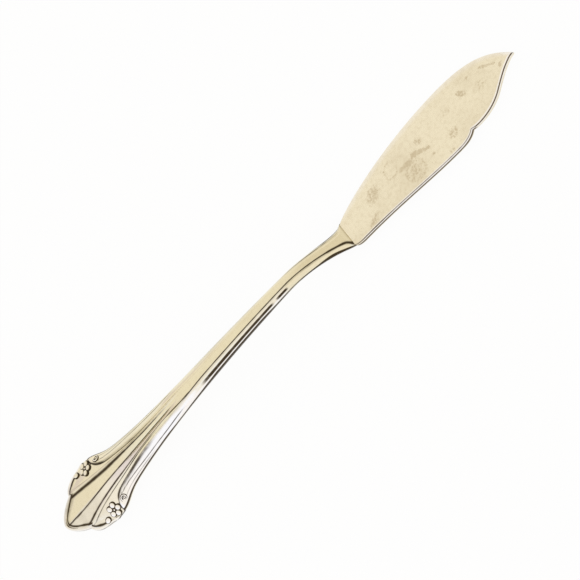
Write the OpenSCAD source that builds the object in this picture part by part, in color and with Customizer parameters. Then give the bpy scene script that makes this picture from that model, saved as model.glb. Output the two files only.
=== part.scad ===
// Flat-handled butter knife: a blade with a cranked tang, hard-soldered into a die-struck handle.
// Lengths are in millimetres. The origin lies on the table under the shoulder, where the handle's
// foot meets the blade: +X runs to the blade's point, +Y to the cutting edge and +Z up.

/* [Blade] */
// Length from the shoulder to the point
blade_l = 61; // [52:0.5:72]
// Distance from the centreline to the cutting edge at its widest
belly_w = 10.3; // [8:0.1:13]
// Distance from the shoulder to the widest place of the cutting edge
belly_x = 39; // [34:0.5:44]
// Distance from the centreline to the back at its widest
back_w = 5.2; // [4.6:0.1:7]
// Distance from the shoulder to the widest place of the back
swell_x = 36; // [30:0.5:38]
// Distance from the shoulder to the notch in the back
notch_x = 41.3; // [39.5:0.1:45]
// Depth of the notch in the back
notch_d = 1.4; // [0.6:0.1:2]
// Distance of the point from the centreline, towards the cutting edge
point_y = 2.6; // [0.5:0.1:4]
// Thickness along the back
back_t = 1.8; // [1.3:0.1:2.4]
// Rounding of the back's upper edge
back_r = 0.5; // [0.2:0.05:0.7]
// Thickness along the cutting edge
edge_t = 0.5; // [0.3:0.05:0.9]
// Width of the hollow-ground bevel beside the cutting edge
grind_w = 8; // [5:0.5:10]
// Distance from the centreline to the back just past the shoulder
root_w = 3.75; // [3.4:0.05:4.4]

/* [Tang and solder] */
// Length of the tang inside the handle, measured along X
tang_l = 6; // [4:0.5:8]
// Width of the tang
tang_w = 1.7; // [1.2:0.1:2.2]
// Height of the tang at any station
tang_t = 1.1; // [0.8:0.1:1.3]
// Thickness of the solder film round the tang
solder_t = 0.1; // [0.05:0.01:0.15]

/* [Handle] */
// Length from the shoulder to the tip of the fan
handle_l = 112; // [95:1:130]
// Width of the handle's foot, and of the blade, at the shoulder
foot_w = 7.1; // [6.4:0.1:7.6]
// How far the foot stands over towards the cutting edge
foot_shift = 0.35; // [0.2:0.05:0.5]
// Length of the foot that lies flat on the table
foot_l = 1; // [0.5:0.1:1.5]
// Height of the handle's foot above the blade
step_h = 0.3; // [0.2:0.05:0.9]
// Width of the shank at its narrowest
shank_w = 3.9; // [3.4:0.1:5]
// Thickness of the shank
shank_t = 3.3; // [2.9:0.1:4]
// Height of the sides' widest line above the underside
side_h = 1.5; // [1.2:0.05:1.8]
// Width of the fan at the blossoms
fan_w = 17.2; // [14:0.1:20]
// Distance from the widest place of the fan to its tip
fan_l = 14.5; // [12:0.5:18]
// Height of the arch under the handle
arch_h = 7.9; // [5:0.1:10]
// Distance from the shoulder to the crown of the arch
crown_d = 17.3; // [14:0.1:22]

/* [Ornament] */
// Width of the raised rim round the fan
rim_w = 0.75; // [0.5:0.05:1]
// Thickness of the rim above the table
rim_t = 1.8; // [1.5:0.1:2.4]
// Greatest depth of the pleats
pleat_d = 0.85; // [0.3:0.05:1]
// Distance from the shoulder to where the pleats die out
pleat_end = 54; // [45:1:65]
// Height of the scrolls above the panels beside them
lobe_rise = 0.3; // [0.1:0.05:0.5]
// Distance from the notches of the rim to the tip
rim_notch = 5.7; // [4:0.1:7]
// Diameter of a blossom
blossom_d = 4.3; // [3:0.1:4.6]
// Diameter of a bud
bud_d = 1.7; // [1.2:0.1:2.2]
// Diameter of a volute at the middle of its bead
volute_d = 2.1; // [1.5:0.1:2.3]

/* [Hidden] */
$fn = 24;

silver = [0.89, 0.83, 0.68];
solder_grey = [0.55, 0.53, 0.47];

// Shape factors, without units
foot_ease = 0.08;       // how softly the arch leaves the foot
taper = 0.024;          // growth of the half width for each length of shank
ridge_v = 0.33;         // label of the two ridges' lines, a share of the half width
bend_in = -0.226;       // how far the lines bend inwards along the shank
bend_out = 0.113;       // how far the lines bend outwards at the fan
shoulder_v = 0.395;     // place of the shoulder lines along the shank
foot_shoulder = 0.16;   // how much further out the shoulder lines lie at the foot
fan_shoulder = 0.1;     // how much further out they lie where the pleats begin
flute_shoulder = 0.11;  // how much further still they lie beside the fan
scroll_v = 0.94;        // place of a scroll's end
plain_v = 0.8;          // where the fan's panels turn down to the sides
rim_soft = 0.2;         // softness of the rim's inner side
lip_v = 0.02;           // width of the wall inside a scroll
boss_v = 0.6;           // where the bosses beside the blossoms begin
bead_v = 0.055;         // half width of the beads along the ridges
pleat_slope = 0.4;      // depth of a pleat for each width
valley_power = 1.1;     // curve of the pleats' walls
panel_power = 2.2;      // curve of the outer panels' fall
oval_power = 1.6;       // roundness of the sides along the shank
bevel_power = 3.2;      // roundness of the sides at the fan
bevel_share = 0.85;     // share of the sides' fall at the fan that is a straight bevel
tip_round = 0.05;       // bluntness of the tip
tip_power = 1.2;        // curve of the rim between the tip and the notches
rim_power = 1.6;        // curve of the rim between the notches and the sides
rim_least = 0.6;        // least squareness with which a line meets the rim

// Lengths that come with the driving ones
fan_d = handle_l - fan_l;       // shoulder to the widest place of the fan
notch_at = handle_l - rim_notch;
flute_l = 13.5;                 // length of the flute that opens into the fan
flute_d = fan_d - flute_l;
root_l = 4;                     // length over which the stations fan out before the widest place
root_d = fan_d - root_l;
flare_l = 15;                   // length over which the flare grows by a factor of e
foot_run = 3.4;                 // length over which the foot's flare dies away
foot_drop = 0.3;                // how much lower the sides' widest line lies at the foot
neck_run = 3;                   // length over which the neck reaches the shank's thickness
fade_l = 14;                    // length over which the pleats and the scrolls grow
bend_l = 36;                    // length over which the lines bend outwards
bend_back = 27.5;               // distance from the start of that bend to the widest place
lobe_l = 12;                    // length over which the oval sides turn into bevels
lobe_back = 39.5;               // distance from the start of that turn to the widest place
rise_back = 31.5;               // distance from the start of the scrolls' rise to the widest place
swing_back = 21.5;              // distance from where the shoulders swing out to the widest place
lead_l = 4;                     // how far before the pleats the shoulders move out
fall_l = 25.5;                  // length over which the panels fall away to the sides
dome_l = 16;                    // length over which the fan falls to its rim
boss_w = 1;                     // how far the bosses stand out
boss_back = 4;                  // distance from the bosses to the widest place
boss_l = 3.8;
fan_edge_t = 1.5;               // thickness under the blossoms
fan_floor = 0.9;                // least thickness of the fan
lobe_dip = 0.2;                 // fall of the panels towards the scrolls
scroll_l = 4.5;                 // length over which a scroll's inner edge turns outwards
scroll_end = 3.2;               // distance from the end of the scrolls to the widest place
scroll_run = 0.6;               // length over which a scroll ends
bead_h = 0.14;
low_edge = 0.6;                 // width over which the sides round into the underside
low_foot = 0.3;                 // that width at the foot
low_run = 8;                    // length over which it grows
edge_flat = 0.2;                // upright strip along the sides' widest line
rim_round = 0.3;                // rounding of the rim's outer edge

// Places of the ornament, as distances from the widest place of the fan and shares of the half width
blossom_back = 1;
blossom_v = 0.78;
bud_on = 2.5;
bud_v = 0.77;
volute_back = 5.9;
volute_v = 0.85;

foot_t = back_t + step_h;
tang_rise = 0.72;               // climb of the tang for each length along X
tang_z = back_t * 0.45;         // height of the tang's middle at the shoulder
tang_root = 0.8;                // how far the tang runs on into the blade

function mix(a, b, k) = a + (b - a) * k;
function clamp01(k) = min(max(k, 0), 1);
function smooth(k) = let (c = clamp01(k)) c * c * (3 - 2 * c);
function bezier(p, k) =
    p[0] * pow(1 - k, 3) + p[1] * 3 * k * pow(1 - k, 2) + p[2] * 3 * k * k * (1 - k) + p[3] * pow(k, 3);
// Share of a quarter round's fall, from 0 at its crest to 1 where k is 1
function quarter(k) = 1 - sqrt(1 - k * k);

// The blade's outline, as curves from the shoulder to the point
heel_l = 3;             // length over which the back leaves the shoulder
swell_rise = 0.4;       // how far the back turns in before the notch
cusp_pull = 0.6;        // how far the curves beyond the notch swing out
hip_out = 1.4;
hip_pull = 2.3;
tail_in = 0.35;         // how far the back turns in towards the point
tail_out = 0.8;
point = [blade_l, point_y];
foot_near = foot_w / 2 - foot_shift;
foot_far = foot_w / 2 + foot_shift;
heel = [heel_l, -root_w];
swell = [swell_x, -back_w];
belly = [belly_x, belly_w];
cusp = [notch_x, notch_d - back_w];
hip = mix(cusp, point, 0.57) + [0, -hip_out];
hip_l = hip[0] - notch_x;
edge_curves = [
    [[0, foot_far], [belly_x * 0.13, mix(foot_far, belly_w, 0.45)], [belly_x * 0.56, belly_w], belly],
    [belly, [mix(belly_x, blade_l, 0.41), belly_w],
     [mix(belly_x, blade_l, 0.75), mix(point_y, belly_w, 0.86)], point],
];
back_curves = [
    [[0, -foot_near], [heel_l * 0.2, -mix(foot_near, root_w, 0.75)], [heel_l * 0.5, -root_w], heel],
    [heel, [mix(heel_l, swell_x, 0.4), -root_w], [mix(heel_l, swell_x, 0.7), -back_w], swell],
    [swell, [mix(swell_x, notch_x, 0.47), -back_w],
     [mix(swell_x, notch_x, 0.75), swell_rise - back_w], cusp],
    [cusp, cusp + [hip_l * 0.28, -cusp_pull], hip - [hip_l * 0.31, hip_pull], hip],
    [hip, mix(hip, point, 0.3) + [0, tail_in], mix(hip, point, 0.6) + [0, tail_out], point],
];
curve_steps = 12;
function path(curves) =
    concat([for (c = curves, i = [0 : curve_steps - 1]) bezier(c, i / curve_steps)], [point]);

// The height of a path of rising x at x, found between its neighbours
function y_at(pts, x, i = 0) =
    i + 2 >= len(pts) || pts[i + 1][0] >= x
        ? mix(pts[i][1], pts[i + 1][1], (x - pts[i][0]) / (pts[i + 1][0] - pts[i][0]))
        : y_at(pts, x, i + 1);

// The blade, as rings of points from the shoulder to the blunted point
point_w = 0.3;
root_run = 6;           // length over which the cutting edge thickens to the root
flat_share = 0.25;      // least share of the width that stays flat
hollow_power = 1.5;     // curve of the hollow-ground bevel
body_n = 24;
body_crowd = 1.3;       // how much the blade's stations crowd at the shoulder
tail_n = 20;
blade_stations = concat(
    [for (i = [0 : body_n]) notch_x * pow(i / body_n, body_crowd)],
    [for (i = [1 : tail_n]) mix(notch_x, blade_l, i / tail_n)]);

// A cross-section from y0 at the back to y1 at the cutting edge, flat below
function blade_ring(x, y0, y1) =
    let (wide = y1 - y0,
         flat = max(wide - grind_w, flat_share * wide),
         thin = mix(edge_t, back_t, exp(-x / root_run)),
         r = min(back_r, flat_share * wide / 2),
         hollow = back_t - (back_t - thin) * pow(0.5, hollow_power),
         round_in = r * (1 - sqrt(0.5)))
    [[x, y0, 0], [x, y1, 0], [x, y1, thin], [x, mix(y0 + flat, y1, 0.5), hollow], [x, y0 + flat, back_t],
     [x, y0 + r, back_t], [x, y0 + round_in, back_t - round_in], [x, y0, back_t - r]];

module blade_body() {
    edge = path(edge_curves);
    back = path(back_curves);
    rings = [for (x = blade_stations)
        let (w = x < blade_l ? 0 : point_w / 2) blade_ring(x, y_at(back, x) - w, y_at(edge, x) + w)];
    n = len(rings[0]);
    last = (len(rings) - 1) * n;
    sides = [for (j = [0 : len(rings) - 2], i = [0 : n - 1])
        let (a = j * n + i, b = j * n + (i + 1) % n) each [[a, b + n, b], [a, a + n, b + n]]];
    polyhedron([for (r = rings, q = r) q],
               concat([[for (i = [0 : n - 1]) i]], sides, [[for (i = [n - 1 : -1 : 0]) last + i]]));
}

module blade() {
    color(silver) union() {
        blade_body();
        tang(0, tang_root);
    }
}

// The tang climbs with the neck. grow makes the slot and root is how far it runs on into the blade.
module tang(grow, root) {
    h = tang_t / 2 + grow;
    l = tang_l + grow;
    rotate([90, 0, 0]) linear_extrude(tang_w + 2 * grow, center = true)
        polygon([[root, tang_z - h], [root, tang_z + h], [0, tang_z + h],
                 [-l, tang_z + tang_rise * l + h], [-l, tang_z + tang_rise * l - h], [0, tang_z - h]]);
}

module solder_seam() {
    color(solder_grey) difference() {
        tang(solder_t, 0);
        tang(0, tang_root);
    }
}

// Heights and widths of the handle at distance d from the shoulder
function eased(u) = (1 + foot_ease) * u * u / (u + foot_ease);
function under(d) =
    d <= foot_l ? 0
    : d < crown_d ? arch_h * (1 - pow(1 - eased((d - foot_l) / (crown_d - foot_l)), 2))
    : arch_h * pow(1 - pow((d - crown_d) / (handle_l - crown_d), 2), 2);
function half_w(d) =
    let (base = shank_w / 2 + taper * max(d - crown_d, 0),
         fan_base = shank_w / 2 + taper * (fan_d - crown_d))
    base + (fan_w / 2 - fan_base) * exp((d - fan_d) / flare_l)
         + (foot_w - shank_w) / 2 * exp(-d / foot_run);
function boss(d, a) =
    boss_w * exp(-pow((d - fan_d + boss_back) / boss_l, 2)) * smooth((a - boss_v) / (1 - boss_v));
function bent(d, a) = a + a * (1 - a) * mix(bend_in, bend_out, smooth((d - fan_d + bend_back) / bend_l));
function side_y(d, v) =
    foot_shift * exp(-d / foot_run) + sign(v) * (bent(d, abs(v)) * half_w(d) + boss(d, abs(v)));
function shoulder(d) =
    let (k = clamp01((d - fan_d + scroll_end + scroll_l) / scroll_l),
         s = shoulder_v + foot_shoulder * exp(-d / neck_run)
             + fan_shoulder * smooth((d - pleat_end + lead_l) / lobe_l)
             + flute_shoulder * smooth((d - fan_d + swing_back) / fade_l))
    mix(s, scroll_v, quarter(k));
function scroll(d) = 1 - smooth((d - fan_d + scroll_end) / scroll_run);
function pleat(d) = smooth((d - pleat_end) / fade_l);
function ridge_t(d, gap) =
    mix(shank_t, rim_t, pow(1 - clamp01(gap / dome_l), 3)) + (foot_t - shank_t) * exp(-d / neck_run);
function side_t(d) = mix(rim_t / 2, side_h, scroll(d)) - foot_drop * exp(-d / foot_run);

// Distance from the shoulder to the rim along the line v
function tip_v(v) = sqrt(v * v + tip_round * tip_round) - tip_round;
function rim_d(v) =
    let (a = abs(v))
    a <= ridge_v ? handle_l - rim_notch * pow(tip_v(a) / tip_v(ridge_v), tip_power)
                 : notch_at - (notch_at - fan_d) * pow((a - ridge_v) / (1 - ridge_v), rim_power);

// Thickness of the panels between the valley, the ridges and the sides
function panel_t(d, a, gap) =
    let (t = ridge_t(d, gap), f = pleat(d),
         fall = smooth((d - fan_d + bend_back) / fall_l) * max(t - fan_edge_t, 0),
         deep = min(pleat_slope * ridge_v * half_w(d), pleat_d, t - fan_floor),
         bead = bead_h * f * max(0, 1 - pow((a - ridge_v) / bead_v, 2)))
    a < ridge_v ? t - f * deep * pow(1 - a / ridge_v, valley_power) + bead
                : t - fall * pow((a - ridge_v) / (1 - ridge_v), panel_power) + bead;

// The sides turn from an oval into a bevel; q is the share of a side's width
function turned(d) = smooth((d - fan_d + lobe_back) / lobe_l);
function power(d) = mix(oval_power, bevel_power, turned(d));
function side_fall(d, q) =
    mix(1 - pow(max(0, 1 - pow(q, power(d))), 1 / power(d)), q, bevel_share * turned(d));

// Thickness with the sides, which end in the scrolls before the blossoms
function lobe_t(d, a, gap) =
    let (s = shoulder(min(d, fan_d)), q = clamp01((a - s) / (1 - s)), e = side_t(d) + edge_flat / 2,
         top = panel_t(d, s, gap) + lobe_rise * smooth((d - fan_d + rise_back) / fade_l),
         plain = mix(panel_t(d, a, gap), e, smooth((q - plain_v) / (1 - plain_v))))
    mix(plain, top - (top - e) * side_fall(d, q), scroll(d));
function dipped_t(d, a, gap) =
    let (s = shoulder(min(d, fan_d)), k = clamp01((a - ridge_v) / (s - ridge_v)))
    panel_t(d, a, gap) - pleat(d) * scroll(d) * lobe_dip * pow(k, 3);

// Thickness with the rim, whose inner side lies rim_w from the outline; gap is the distance to it
function top_t(d, v, gap) =
    let (a = abs(v), t = a <= shoulder(min(d, fan_d)) ? dipped_t(d, a, gap) : lobe_t(d, a, gap),
         lean = 1 - clamp01(gap / rim_round), crest = rim_t - (rim_t - edge_flat) / 2 * quarter(lean))
    mix(crest, t, smooth((gap / rim_w - 1 + rim_soft) / (2 * rim_soft)));
// Height of the underside's rounded edges above its middle
function low_t(d, v, gap) =
    let (reach = mix(low_foot, low_edge, smooth(d / low_run)),
         inner = min((1 - abs(v)) * half_w(d), gap))
    (side_t(d) - edge_flat / 2) * quarter(1 - clamp01(inner / reach));

// The handle's skin, as rings of points from the shoulder to the rim. The lines across it crowd at
// the sides, and the underside takes fewer of them, which low_lines counts from an edge.
zone_n = 8;
skip_n = 2;
half_n = 3 * zone_n;
top_n = 2 * half_n + 1;
low_lines = concat([0], [for (i = [skip_n : zone_n / skip_n]) i],
                   [for (i = [zone_n : skip_n : 2 * zone_n]) i],
                   [for (i = [2 * (zone_n + skip_n) : 2 * skip_n : half_n]) i]);
low_n = len(low_lines);
under_lines = concat(low_lines, [for (i = [1 : low_n - 1]) top_n - 1 - low_lines[low_n - 1 - i]]);
under_n = len(under_lines);
ring_n = top_n + under_n;
function zone_v(d, i) =
    let (s = shoulder(min(d, fan_d)))
    i <= zone_n ? ridge_v * i / zone_n
    : i <= 2 * zone_n ? mix(ridge_v, s, (i - zone_n) / zone_n)
    : mix(s + lip_v, 1, pow(sin(90 * (i - 2 * zone_n) / zone_n), 2 / power(d)));
function signed_v(d, i) = i < half_n ? -zone_v(d, half_n - i) : zone_v(d, i - half_n);

neck_n = 12;
neck_crowd = 1.7;       // how much the neck's stations crowd at the shoulder
shank_n = 18;
flute_n = 14;
neck_stations = [for (i = [0 : neck_n - 1]) crown_d * pow(i / neck_n, neck_crowd)];
shank_stations = [for (i = [0 : shank_n - 1]) mix(crown_d, flute_d, i / shank_n)];
flute_stations = [for (i = [0 : flute_n - 1]) mix(flute_d, root_d, i / flute_n)];
rim_steps = [2.65, 2.1, 1.65, 1.3, 1.1, 0.9, 0.65, 0.4, 0.2, 0];
rim_gaps = [for (k = rim_steps) k * rim_w];
fan_n = 14;

function rim_slope(v) =
    let (h = 0.004, a = min(abs(v), 1 - h), d0 = rim_d(a), d1 = rim_d(a + h),
         y0 = side_y(d0, a), y1 = side_y(d1, a + h))
    max(abs(y1 - y0) / norm([d1 - d0, y1 - y0]), rim_least);
function skin_point(d, v, t) = [-d, side_y(d, v), under(d) + t];
function ring(at, gap_at) =
    let (edge_d = at(1), lines = [for (i = [0 : top_n - 1]) signed_v(edge_d, i)])
    concat([for (v = lines) skin_point(at(v), v, top_t(at(v), v, gap_at(v)))],
           [for (k = [under_n - 1 : -1 : 0])
               let (v = lines[under_lines[k]]) skin_point(at(v), v, low_t(at(v), v, gap_at(v)))]);

skin_rings = concat(
    [for (d = concat(neck_stations, shank_stations, flute_stations))
        ring(function (v) d, function (v) rim_d(v) - d)],
    [for (i = [0 : fan_n - 1])
        ring(function (v) mix(root_d, rim_d(v) - rim_gaps[0] / rim_slope(v), i / fan_n),
             function (v) mix(rim_d(v) - root_d, rim_gaps[0], i / fan_n))],
    [for (g = rim_gaps) ring(function (v) rim_d(v) - g / rim_slope(v), function (v) g)]);

// Closes the last ring between its upper and its lower points
function cap_strip(last, k) =
    let (t0 = last + under_lines[k], t1 = last + under_lines[k + 1],
         b0 = last + ring_n - 1 - k, b1 = b0 - 1,
         m = floor((t0 + t1) / 2))
    concat([for (i = [t0 : 1 : m - 1]) [b0, i + 1, i]],
           [[b0, b1, m]],
           [for (i = [m : 1 : t1 - 1]) [b1, i + 1, i]]);

module handle_skin() {
    n = len(skin_rings);
    last = (n - 1) * ring_n;
    sides = [for (j = [0 : n - 2], i = [0 : ring_n - 1])
        let (a = j * ring_n + i, b = j * ring_n + (i + 1) % ring_n)
        each [[a, a + ring_n, b + ring_n], [a, b + ring_n, b]]];
    cap = [for (k = [0 : under_n - 2]) each cap_strip(last, k)];
    polyhedron([for (r = skin_rings, p = r) p], concat([[for (i = [0 : ring_n - 1]) i]], sides, cap));
}

// Places the ornament on the handle's top, at distance d and share v, on the side of sign
module on_top(d, v, side) {
    translate([-d, side_y(d, side * v), under(d) + top_t(d, v, rim_d(v) - d)])
        mirror([0, side < 0 ? 1 : 0, 0]) children();
}

module blossom() {
    petals = 5;
    petal_r = blossom_d * 0.2;
    for (i = [0 : petals - 1]) rotate(360 / petals * (i + 0.25)) hull() {
        translate([blossom_d / 2 - petal_r, 0, -petal_r * 0.3]) sphere(petal_r, $fn = 12);
        translate([blossom_d * 0.14, 0, -petal_r * 0.35]) sphere(petal_r * 0.6, $fn = 8);
    }
    translate([0, 0, blossom_d * 0.025]) sphere(blossom_d * 0.11, $fn = 12);
}

module volute() {
    bead_r = volute_d * 0.2;
    rotate(100) rotate_extrude(angle = 280, $fn = 20) translate([volute_d / 2, 0]) circle(bead_r, $fn = 10);
    sphere(bead_r * 1.1, $fn = 10);
}

module handle() {
    color(silver) difference() {
        union() {
            handle_skin();
            for (side = [-1, 1]) {
                on_top(fan_d - blossom_back, blossom_v, side) blossom();
                on_top(fan_d + bud_on, bud_v, side) sphere(bud_d / 2, $fn = 14);
                on_top(fan_d - volute_back, volute_v, side) volute();
            }
        }
        tang(solder_t, 1);
    }
}

blade();
handle();
solder_seam();
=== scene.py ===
"""The looks of a butter knife: a plated blade set into a die-struck handle with a pleated fan.

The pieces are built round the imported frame, in its axes: +X to the blade's point, +Y to the cutting
edge and +Z up, with the origin on the table under the shoulder. Forms are worked out in millimetres.
"""

import logging
import math
from dataclasses import dataclass
from enum import Enum
from functools import cache

import bmesh
import bpy
from mathutils import Matrix, Vector


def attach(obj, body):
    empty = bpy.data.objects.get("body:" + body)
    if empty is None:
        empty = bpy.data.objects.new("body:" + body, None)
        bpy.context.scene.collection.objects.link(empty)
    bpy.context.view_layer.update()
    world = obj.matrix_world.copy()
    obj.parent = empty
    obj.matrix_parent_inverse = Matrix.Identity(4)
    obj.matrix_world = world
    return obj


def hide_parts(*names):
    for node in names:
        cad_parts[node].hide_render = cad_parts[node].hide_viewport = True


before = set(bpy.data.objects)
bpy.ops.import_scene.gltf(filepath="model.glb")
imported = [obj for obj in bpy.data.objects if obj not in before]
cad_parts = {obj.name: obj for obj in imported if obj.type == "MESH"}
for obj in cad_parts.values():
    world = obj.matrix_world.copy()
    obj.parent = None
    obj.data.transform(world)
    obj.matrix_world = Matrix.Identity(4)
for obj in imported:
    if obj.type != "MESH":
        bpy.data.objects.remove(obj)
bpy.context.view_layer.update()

log = logging.getLogger("butter_knife")

MM = 0.001
QUARTER_TURN = math.pi / 2
BODY = "root"

# Attributes of the pieces that the finishes read: darkness from tarnishing, painted shade and painted
# reflections; stains; paleness from rubbing and painted highlights
# Darkness share: tarnishing in the die's lines, with painted shade and painted reflections
TARNISH_AND_SHADE = "recess"
STAIN = "stain"
# Paleness share: rubbed places, with painted highlights
WEAR_AND_HIGHLIGHT = "worn"

Colour = tuple[float, float, float]
Point = tuple[float, float, float]
Mesh = bmesh.types.BMesh
Tree = bpy.types.NodeTree
Socket = bpy.types.NodeSocket
Value = Socket | float | Colour


def mix(a: float, b: float, k: float) -> float:
    """Blends from a at k 0 to b at k 1."""
    return a + (b - a) * k


def clamp01(k: float) -> float:
    """Holds k between 0 and 1."""
    return min(max(k, 0.0), 1.0)


def smooth(k: float) -> float:
    """Eases k from 0 to 1."""
    c = clamp01(k)
    return c * c * (3 - 2 * c)


def rise(x: float, start: float, run: float) -> float:
    """An eased step from 0 at the start to 1 a run later."""
    return smooth((x - start) / run)


def fall(x: float, start: float, run: float) -> float:
    """An eased step from 1 at the start to 0 a run later."""
    return 1 - smooth((x - start) / run)


def hump(x: float, width: float) -> float:
    """A bell of height 1 at x 0 that fades over the width."""
    return math.exp(-((x / width) ** 2))


def quarter(k: float) -> float:
    """Share of a quarter round's fall, from 0 at its crest to 1 where k is 1."""
    return 1 - math.sqrt(max(0.0, 1 - k * k))


def bunched(count: int) -> list[float]:
    """Shares from 0 to 1, in count steps that crowd at both ends."""
    return [0.5 - 0.5 * math.cos(math.pi * i / count) for i in range(count + 1)]


def curve_path(points: list[tuple[float, float]], steps: int = 48) -> list[tuple[float, float]]:
    """A path along cubic curves that follow on from each other.

    Args:
        points: the curves' ends, with two control points between each two of them.
        steps: how many steps each curve gets.

    Returns:
        The path's points.
    """
    path = []
    for i in range(0, len(points) - 1, 3):
        for k in (j / steps for j in range(steps)):
            weights = ((1 - k) ** 3, 3 * k * (1 - k) ** 2, 3 * k * k * (1 - k), k**3)
            x, y = (sum(w * p[axis] for w, p in zip(weights, points[i:])) for axis in (0, 1))
            path.append((x, y))
    return path + [points[-1]]


class Side(Enum):
    """The two long sides of the knife."""

    NEAR = -1
    FAR = 1


class Span(Enum):
    """How a station of the handle's skin is placed."""

    SHANK = "at one distance from the shoulder"
    FAN = "at a share of the way to the rim"
    RIM = "at one distance from the rim"


class Band(Enum):
    """The bands of the handle's skin between its centre and one side."""

    VALLEY = "from the centre to a ridge"
    PANEL = "from a ridge to a shoulder line"
    LOBE = "from a shoulder line to the side"


@dataclass(frozen=True)
class Fade:
    """A stretch of one height that eases in from its start and out from its end."""

    height: float
    start: float = -math.inf
    ease: float = 1.0
    end: float = math.inf
    end_ease: float = 1.0

    def at(self, x: float) -> float:
        """Its height at x."""
        return self.height * rise(x, self.start, self.ease) * fall(x, self.end, self.end_ease)


@dataclass(frozen=True)
class Swell:
    """A bell of one height round a middle."""

    height: float
    middle: float
    width: float

    def at(self, x: float) -> float:
        """Its height at x."""
        return self.height * hump(x - self.middle, self.width)


@dataclass(frozen=True)
class Speckle:
    """A noise: its waves to the metre, its octaves, and where it begins to show and is whole."""

    scale: float
    detail: float
    low: float = 0.0
    high: float = 1.0


# Near white of rubbed places and of painted highlights
POLISH_AND_HIGHLIGHT = (0.97, 0.938, 0.905)
MOTTLE = Speckle(1100.0, 4, 0.42, 0.7)
RAGGED = Speckle(1700.0, 4, 0.15, 0.7)
SPECKS = Speckle(2600.0, 2, 0.46, 0.62)
PATCHES = Speckle(420.0, 3, 0.12, 0.88)
DENTS = Speckle(900.0, 2)


@dataclass(frozen=True)
class Finish:
    """A metal finish, with its clean colour and the dark tint of its tarnishing and painted shade."""

    name: str
    clean: Colour
    film: Colour
    # Dark tint of tarnishing and of painted shade and reflections
    tarnish: Colour
    roughness: float
    film_roughness: float
    film_scale: float
    film_share: float
    grain_scale: float
    grain_depth: float

    def material(self) -> bpy.types.Material:
        """Makes the procedural material of this finish.

        Returns:
            The material, which reads the piece's attributes of tarnishing and painted shade, of stains, and
            of rubbing and painted highlights.
        """
        made = bpy.data.materials.new(self.name)
        made.use_nodes = True
        tree = made.node_tree
        place = add(tree, "TexCoord", {})["Object"]
        film_ins = {
            "Vector": place,
            "Stain": add(tree, "Attribute", {}, attribute_name=STAIN)["Fac"],
            "Worn": add(tree, "Attribute", {}, attribute_name=WEAR_AND_HIGHLIGHT)["Fac"],
            "Scale": self.film_scale,
            "Share": self.film_share,
            "Clean": self.clean,
            "Film": self.film,
            "Clean Roughness": self.roughness,
            "Film Roughness": self.film_roughness,
        }
        film = add(tree, "Group", film_ins, node_tree=film_group())
        dark_tint_ins = {
            "Vector": place,
            "Recess": add(tree, "Attribute", {}, attribute_name=TARNISH_AND_SHADE)["Fac"],
            "Color": film["Color"],
            "Roughness": film["Roughness"],
            "Tarnish": self.tarnish,
        }
        tarnish = add(tree, "Group", dark_tint_ins, node_tree=tarnish_and_shade_group())
        grain = add(tree, "Group", {"Vector": place, "Scale": self.grain_scale}, node_tree=grain_group())
        bump_ins = {"Strength": 1.0, "Distance": self.grain_depth * MM, "Height": grain["Height"]}
        shader_ins = {
            "Metallic": 1.0,
            "Base Color": tarnish["Color"],
            "Roughness": tarnish["Roughness"],
            "Normal": add(tree, "Bump", bump_ins)["Normal"],
        }
        for label, value in shader_ins.items():
            feed(tree, tree.nodes["Principled BSDF"].inputs[label], value)
        return made


def feed(tree: Tree, socket: Socket, value: Value) -> None:
    """Links a socket, or sets its number, vector or colour.

    Args:
        tree: the tree that holds the socket.
        socket: the input that is fed.
        value: the output that it is linked to, or what it is set to.
    """
    if isinstance(value, Socket):
        tree.links.new(value, socket)
    elif isinstance(value, tuple):
        socket.default_value = (*value, 1)[: len(socket.default_value)]
    else:
        socket.default_value = value


def add(tree: Tree, kind: str, ins: dict[str | int, Value], **options: str | Tree) -> bpy.types.NodeOutputs:
    """Adds a shader node.

    Args:
        tree: the tree that gets the node.
        kind: Blender's name of its kind, without the first words.
        ins: what its inputs are fed with, by their names or numbers.
        options: its other settings.

    Returns:
        The node's outputs.
    """
    node = tree.nodes.new(f"ShaderNode{kind}")
    for label, option in options.items():
        setattr(node, label, option)
    for key, value in ins.items():
        feed(tree, node.inputs[key], value)
    return node.outputs


def ramp(tree: Tree, value: Socket, low: float, high: float) -> Socket:
    """Adds an eased step from 0 at low to 1 at high."""
    ins = {"Value": value, "From Min": low, "From Max": high}
    return add(tree, "MapRange", ins, interpolation_type="SMOOTHSTEP")["Result"]


def maths(tree: Tree, operation: str, *values: Socket | float) -> Socket:
    """Adds a sum of one to three numbers or sockets."""
    return add(tree, "Math", dict(enumerate(values)), operation=operation)["Value"]


def tint(tree: Tree, share: Socket, first: Socket | Colour, second: Socket | Colour) -> Socket:
    """Adds a blend from the first colour at share 0 to the second at share 1."""
    return add(tree, "Mix", {"Factor": share, 6: first, 7: second}, data_type="RGBA")[2]


def noise(tree: Tree, vector: Socket, scale: Socket | float, detail: float) -> Socket:
    """Adds a noise of so many waves to the metre and octaves."""
    return add(tree, "TexNoise", {"Vector": vector, "Scale": scale, "Detail": detail})["Fac"]


def new_group(name: str, ins: dict[str, str], outs: dict[str, str]) -> Tree:
    """Starts a shader node group with its sockets.

    Args:
        name: the group's name.
        ins: the kind of each input, by name.
        outs: the kind of each output, by name.

    Returns:
        The group, holding its input and output nodes.
    """
    group = bpy.data.node_groups.new(name, "ShaderNodeTree")
    for way, sockets in (("INPUT", ins), ("OUTPUT", outs)):
        for label, kind in sockets.items():
            group.interface.new_socket(label, in_out=way, socket_type=f"NodeSocket{kind}")
    group.nodes.new("NodeGroupInput").name = "In"
    group.nodes.new("NodeGroupOutput").name = "Out"
    return group


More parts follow.
